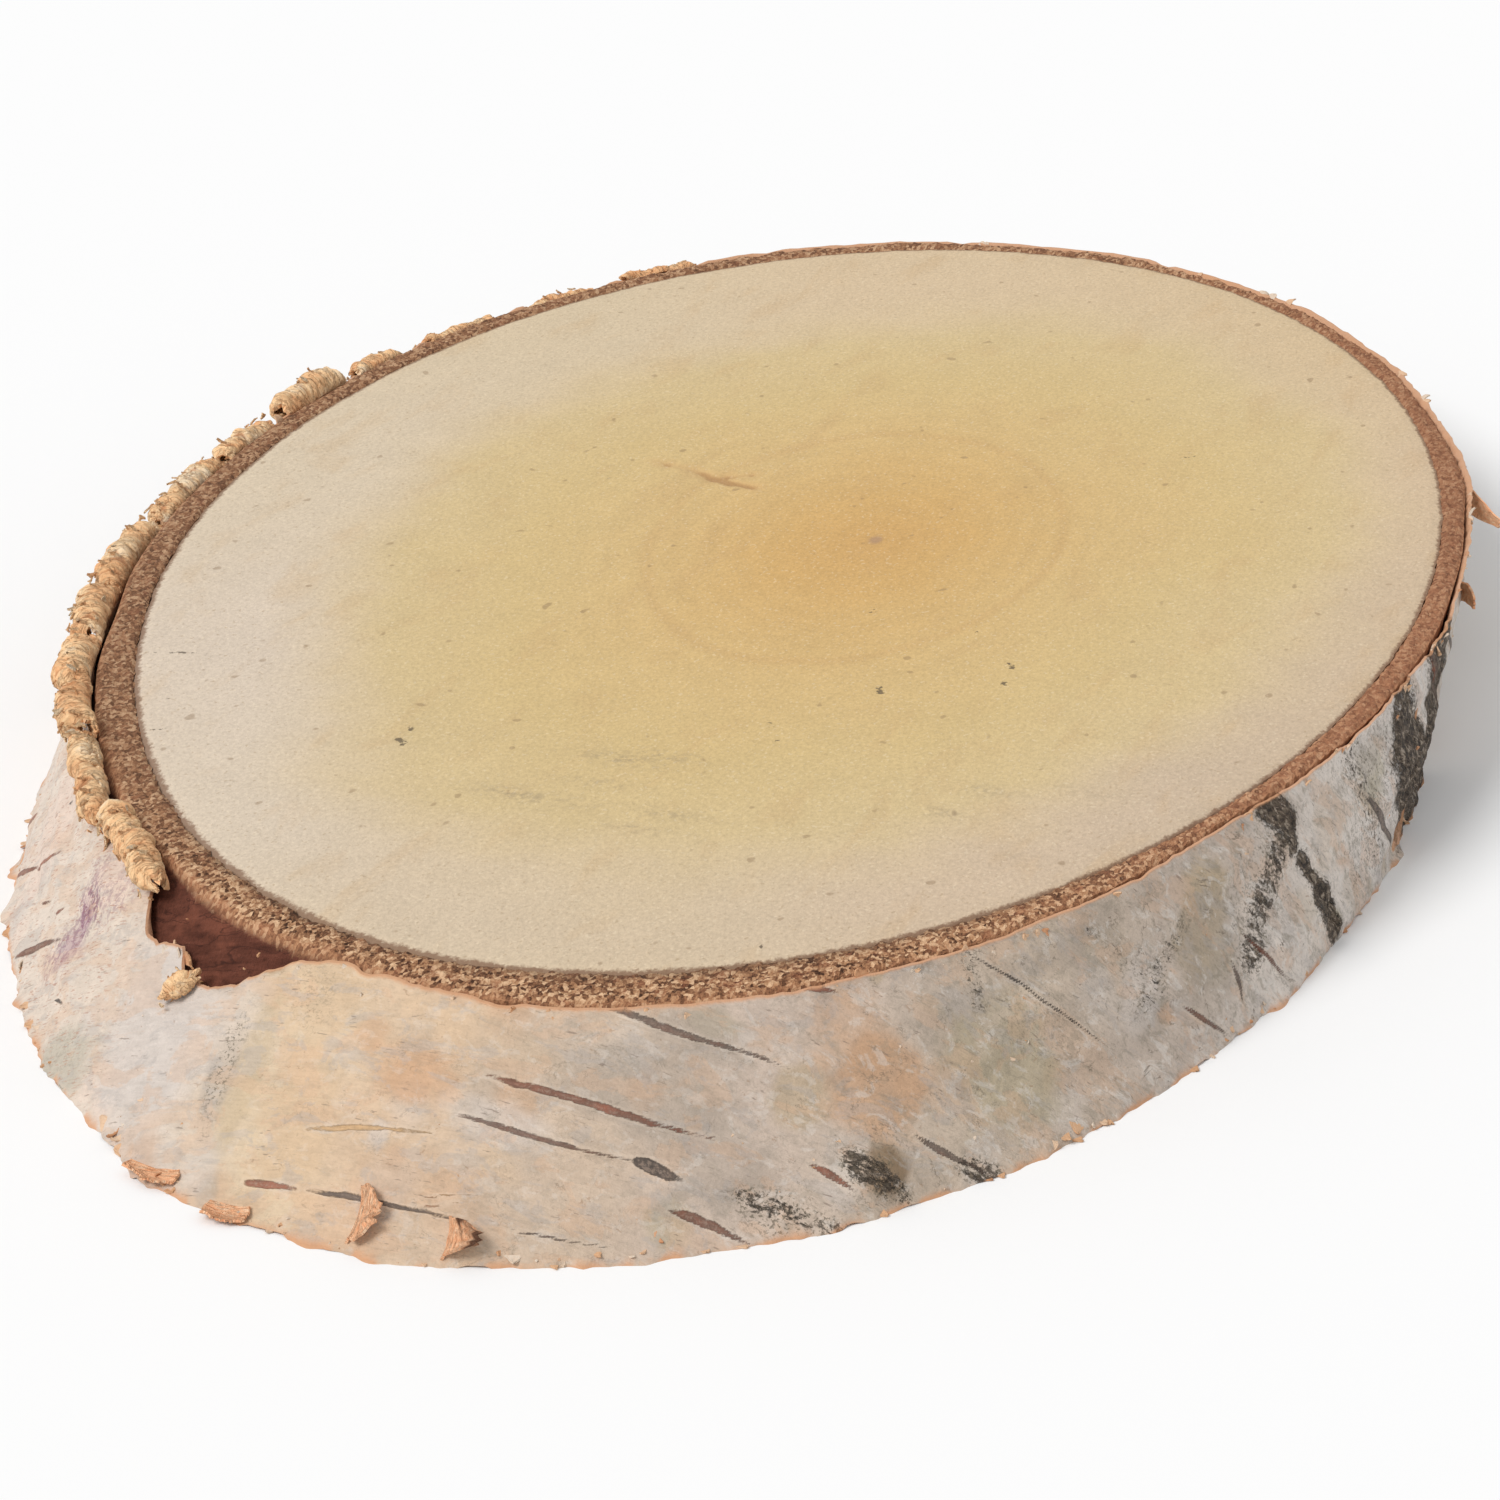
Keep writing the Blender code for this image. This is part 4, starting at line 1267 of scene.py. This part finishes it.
def paper_material():
    nodes = Nodes("birch_paper", 0.6, 0.3)
    # The base colour holds painted shade on the front of the wall
    nodes.colour = nodes.attribute("tone_and_shade", "Vector")
    mottle = nodes.attribute("mottle")
    crust = nodes.attribute("crust")
    mark = nodes.attribute("mark")
    peeled = nodes.patches(0.52, 0.56, (8, 8, 4.4), 6, 0.62, 0.5)
    nodes.paint((206, 168, 136), 0.32, peeled)
    nodes.paint((172, 165, 160), 0.34, nodes.patches(0.54, 0.6, (5, 5, 2.6), 6, 0.66, 0.6))
    nodes.paint((138, 129, 113), 0.5, nodes.patches(0.5, 0.62, (1.9, 1.9, 1.1), 6, 0.74, 0.7), mottle)
    nodes.paint((224, 217, 209), 0.5, nodes.patches(0.54, 0.62, (2.7, 2.7, 1.7), 6, 0.7, 0.6), mottle)
    patch = nodes.noise((2.4, 2.4, 1.6), 5, 0.65, 0.4)
    streak = nodes.noise((2.6, 2.6, 0.3), 3, 0.6)
    fine = nodes.noise((0.45, 0.45, 0.36), 3, 0.65)
    nodes.tint(0.8, 1.18, patch)
    nodes.tint(0.88, 1.1, streak)
    nodes.tint(0.9, 1.09, fine)
    tick = nodes.patches(0.66, 0.72, (1.5, 1.5, 0.26))
    nodes.paint((124, 106, 94), 0.6, tick, nodes.patches(0.4, 0.6, (8, 8, 6)))
    dash = nodes.patches(0.59, 0.65, (1.1, 1.1, 0.2), 2, 0.6)
    nodes.paint((170, 118, 94), 0.6, dash, nodes.attribute("left"))
    smear = nodes.patches(0.47, 0.56, (0.7, 0.7, 0.9), 4, 0.72, 0.4)
    nodes.paint((122, 70, 98), 0.75, smear, nodes.attribute("purple"))
    nodes.paint((150, 118, 92), 0.45, nodes.patches(0.66, 0.71, (1.1, 1.1, 0.7), 3, 0.7, 0.5))
    crack = nodes.cracks(0.002, 0.01, (6, 6, 5), 6, 0.62, 0.6)
    nodes.paint((104, 92, 78), 0.8, crack, nodes.patches(0.5, 0.6, (3, 3, 2.4), 4, 0.7), mottle)
    speckle = nodes.plus(mottle, 0.22, nodes.attribute("speckle"))
    speckle = nodes.math("MINIMUM", nodes.math("ADD", speckle, nodes.step(crust, 0, 0.35)), 1)
    nodes.paint((96, 88, 72), 0.72, nodes.patches(0.53, 0.6, (0.42, 0.42, 0.34), 3, 0.7, 0.4), speckle)
    crumble = nodes.noise((1.7, 1.7, 0.8), 6, 0.76, 0.8)
    pepper = nodes.noise((0.5, 0.5, 0.42), 3, 0.7, 0.4)
    cover = nodes.step(nodes.plus(pepper, 0.8, nodes.plus(crumble, 1.4, crust)), 1.46, 1.7)
    crusty = nodes.ramp(nodes.noise((1.1, 1.1, 0.6), 6, 0.75, 0.5), CRUST_COLOURS)
    nodes.cover(crusty, nodes.times(cover, 0.94))
    nodes.paint((124, 112, 96), 0.42, nodes.step(crust, 0.05, 0.5), nodes.step(pepper, 0.48, 0.6))
    pale = nodes.math("SUBTRACT", nodes.step(mark, -0.5, -0.15), nodes.step(mark, -0.1, 0))
    nodes.paint((224, 206, 186), 0.16, pale)
    kind = nodes.plus(nodes.noise((1.6, 1.6, 0.8), 4), 0.7, nodes.attribute("kind"))
    lenticel = nodes.ramp(nodes.plus(kind, 0.5, 0.325), LENTICEL_COLOURS)
    lenticel = nodes.tinted(lenticel, 0.55, 1.45, nodes.noise((0.9, 0.9, 0.35), 4, 0.7))
    crest = nodes.times(nodes.step(mark, 0.06, 0.2), nodes.step(pepper, 0.44, 0.58))
    lenticel = nodes.mix(nodes.times(crest, 0.42), lenticel, linear((164, 142, 126)))
    lenticel = nodes.tinted(lenticel, 0.74, 1.04, nodes.step(mark, -0.05, 0.12))
    share = mark_share(nodes, crumble, 0.07)
    nodes.cover(lenticel, nodes.times(share, 0.92))
    edge = nodes.plus(fine, 0.4, nodes.math("SUBTRACT", nodes.attribute("edge"), 0.2))
    nodes.paint((208, 154, 114), 0.85, nodes.step(edge, 0.1, 0.8))
    bump = nodes.plus(patch, 0.6, nodes.plus(fine, 0.4, nodes.times(streak, 0.4)))
    bump = nodes.plus(nodes.times(cover, crumble), 1.8, nodes.plus(peeled, -0.08, bump))
    return nodes.finish(nodes.plus(share, 0.4, bump), 0.2, nodes.plus(cover, 0.3, 0.58))


def curl_material():
    nodes = Nodes("birch_paper_inside", 0.75, 0.2)
    hollow_shade = nodes.attribute("hollow_shade")
    streak = nodes.noise((0.45, 1.4, 2.4), 4, 0.68, 0.6)
    value = nodes.plus(nodes.attribute("tint"), 0.4, nodes.times(streak, 0.7))
    nodes.colour = nodes.ramp(value, CURL_COLOURS)
    nodes.paint((222, 188, 138), 0.2, nodes.patches(0.52, 0.68, (2.2, 2.2, 2.2), 3, 0.6))
    # Orange-brown along the streaks, and painted shade in the creases and at the ends of the rolls
    nodes.paint((190, 116, 70), 0.62, nodes.step(nodes.plus(streak, 0.4, hollow_shade), 0.66, 1.1))
    # Thin dark lines painted as shade in the wrinkles, which the bump also dents
    wrinkle = nodes.cracks(0, 0.03, (0.55, 3.2, 3), 3, 0.6, 0.8)
    nodes.paint((170, 110, 72), 0.42, wrinkle)
    nodes.cover(nodes.ramp(streak, PEACH_COLOURS), nodes.attribute("peach"))
    # Painted shade, near black, on the inner side of the tongue that faces the camera
    nodes.paint((74, 44, 32), 0.9, nodes.step(hollow_shade, 0.95, 1.25))
    fine = nodes.noise((0.22, 0.35, 0.35), 3, 0.65)
    nodes.tint(0.86, 1.14, fine)
    return nodes.finish(nodes.plus(wrinkle, -0.4, nodes.math("ADD", streak, fine)), 0.28)


def flake_material():
    nodes = Nodes("birch_flakes", 0.65, 0.25)
    streak = nodes.noise((0.8, 0.8, 0.8), 3, 0.6)
    value = nodes.plus(streak, 0.4, nodes.times(nodes.attribute("tint"), 0.75))
    nodes.colour = nodes.ramp(value, FLAKE_COLOURS)
    return nodes.finish(streak, 0.1)


# Floor, light and camera
FLOOR_SIZE = 24.0
SKY = 0.62
SUN = 1.9
SUN_HEIGHT = 46.0
SUN_TOWARDS = 145.0  # the angle from +X, seen from above, at which the light stands, as for the camera
SUN_SOFTNESS = 26.0
SENSOR_WIDTH = 36
LENS = 120.08
CAMERA_TOWARDS = -159.04
CAMERA_HEIGHT = 23.29
CAMERA_DISTANCE = 0.51316
CAMERA_TARGET = (-0.0458, -0.0166, 0.0175)


def make_floor():
    half = FLOOR_SIZE / 2
    mesh = bpy.data.meshes.new("floor")
    corners = [(-half, -half, 0), (half, -half, 0), (half, half, 0), (-half, half, 0)]
    mesh.from_pydata(corners, [], [(0, 1, 2, 3)])
    floor = bpy.data.objects.new("floor", mesh)
    bpy.context.scene.collection.objects.link(floor)
    material = bpy.data.materials.new("floor_paper")
    material.use_nodes = True
    shader = material.node_tree.nodes["Principled BSDF"]
    shader.inputs["Base Color"].default_value = (0.93, 0.93, 0.93, 1.0)
    shader.inputs["Roughness"].default_value = 1.0
    shader.inputs["Specular IOR Level"].default_value = 0.0
    mesh.materials.append(material)


def pointing(towards, height):
    """The unit vector towards an angle from +X seen from above, and an angle over the floor."""
    towards, height = math.radians(towards), math.radians(height)
    return Vector(
        (math.cos(towards) * math.cos(height), math.sin(towards) * math.cos(height), math.sin(height))
    )


def make_light():
    world = bpy.data.worlds.new("studio")
    world.use_nodes = True
    background = world.node_tree.nodes["Background"]
    background.inputs["Color"].default_value = (1.0, 1.0, 1.0, 1.0)
    background.inputs["Strength"].default_value = SKY
    bpy.context.scene.world = world
    light = bpy.data.lights.new("window", "SUN")
    light.energy = SUN
    light.angle = math.radians(SUN_SOFTNESS)
    lamp = bpy.data.objects.new("window", light)
    bpy.context.scene.collection.objects.link(lamp)
    lamp.rotation_mode = "QUATERNION"
    lamp.rotation_quaternion = pointing(SUN_TOWARDS, SUN_HEIGHT).to_track_quat("Z", "Y")
    bpy.context.scene.view_settings.view_transform = "Standard"


def make_camera():
    camera = bpy.data.cameras.new("camera")
    camera.lens = LENS
    camera.sensor_width = SENSOR_WIDTH
    camera.clip_start = 0.01
    camera.clip_end = 50.0
    obj = bpy.data.objects.new("camera", camera)
    bpy.context.scene.collection.objects.link(obj)
    back = pointing(CAMERA_TOWARDS, CAMERA_HEIGHT)
    obj.location = Vector(CAMERA_TARGET) + back * CAMERA_DISTANCE
    obj.rotation_mode = "QUATERNION"
    obj.rotation_quaternion = (-back).to_track_quat("-Z", "Y")
    bpy.context.scene.camera = obj


def dress(obj, material, node):
    """Gives a piece its material and its place in the frame."""
    obj.data.materials.append(material)
    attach(obj, "root")
    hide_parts(node)


make_floor()
make_light()
make_camera()
dress(make_wood(), wood_material(), "wood")
dress(make_inner_bark(), inner_bark_material(), "inner_bark")
dress(make_paper(), paper_material(), "outer_bark")
dress(make_curls(), curl_material(), "outer_bark")
dress(make_flakes(), flake_material(), "outer_bark")
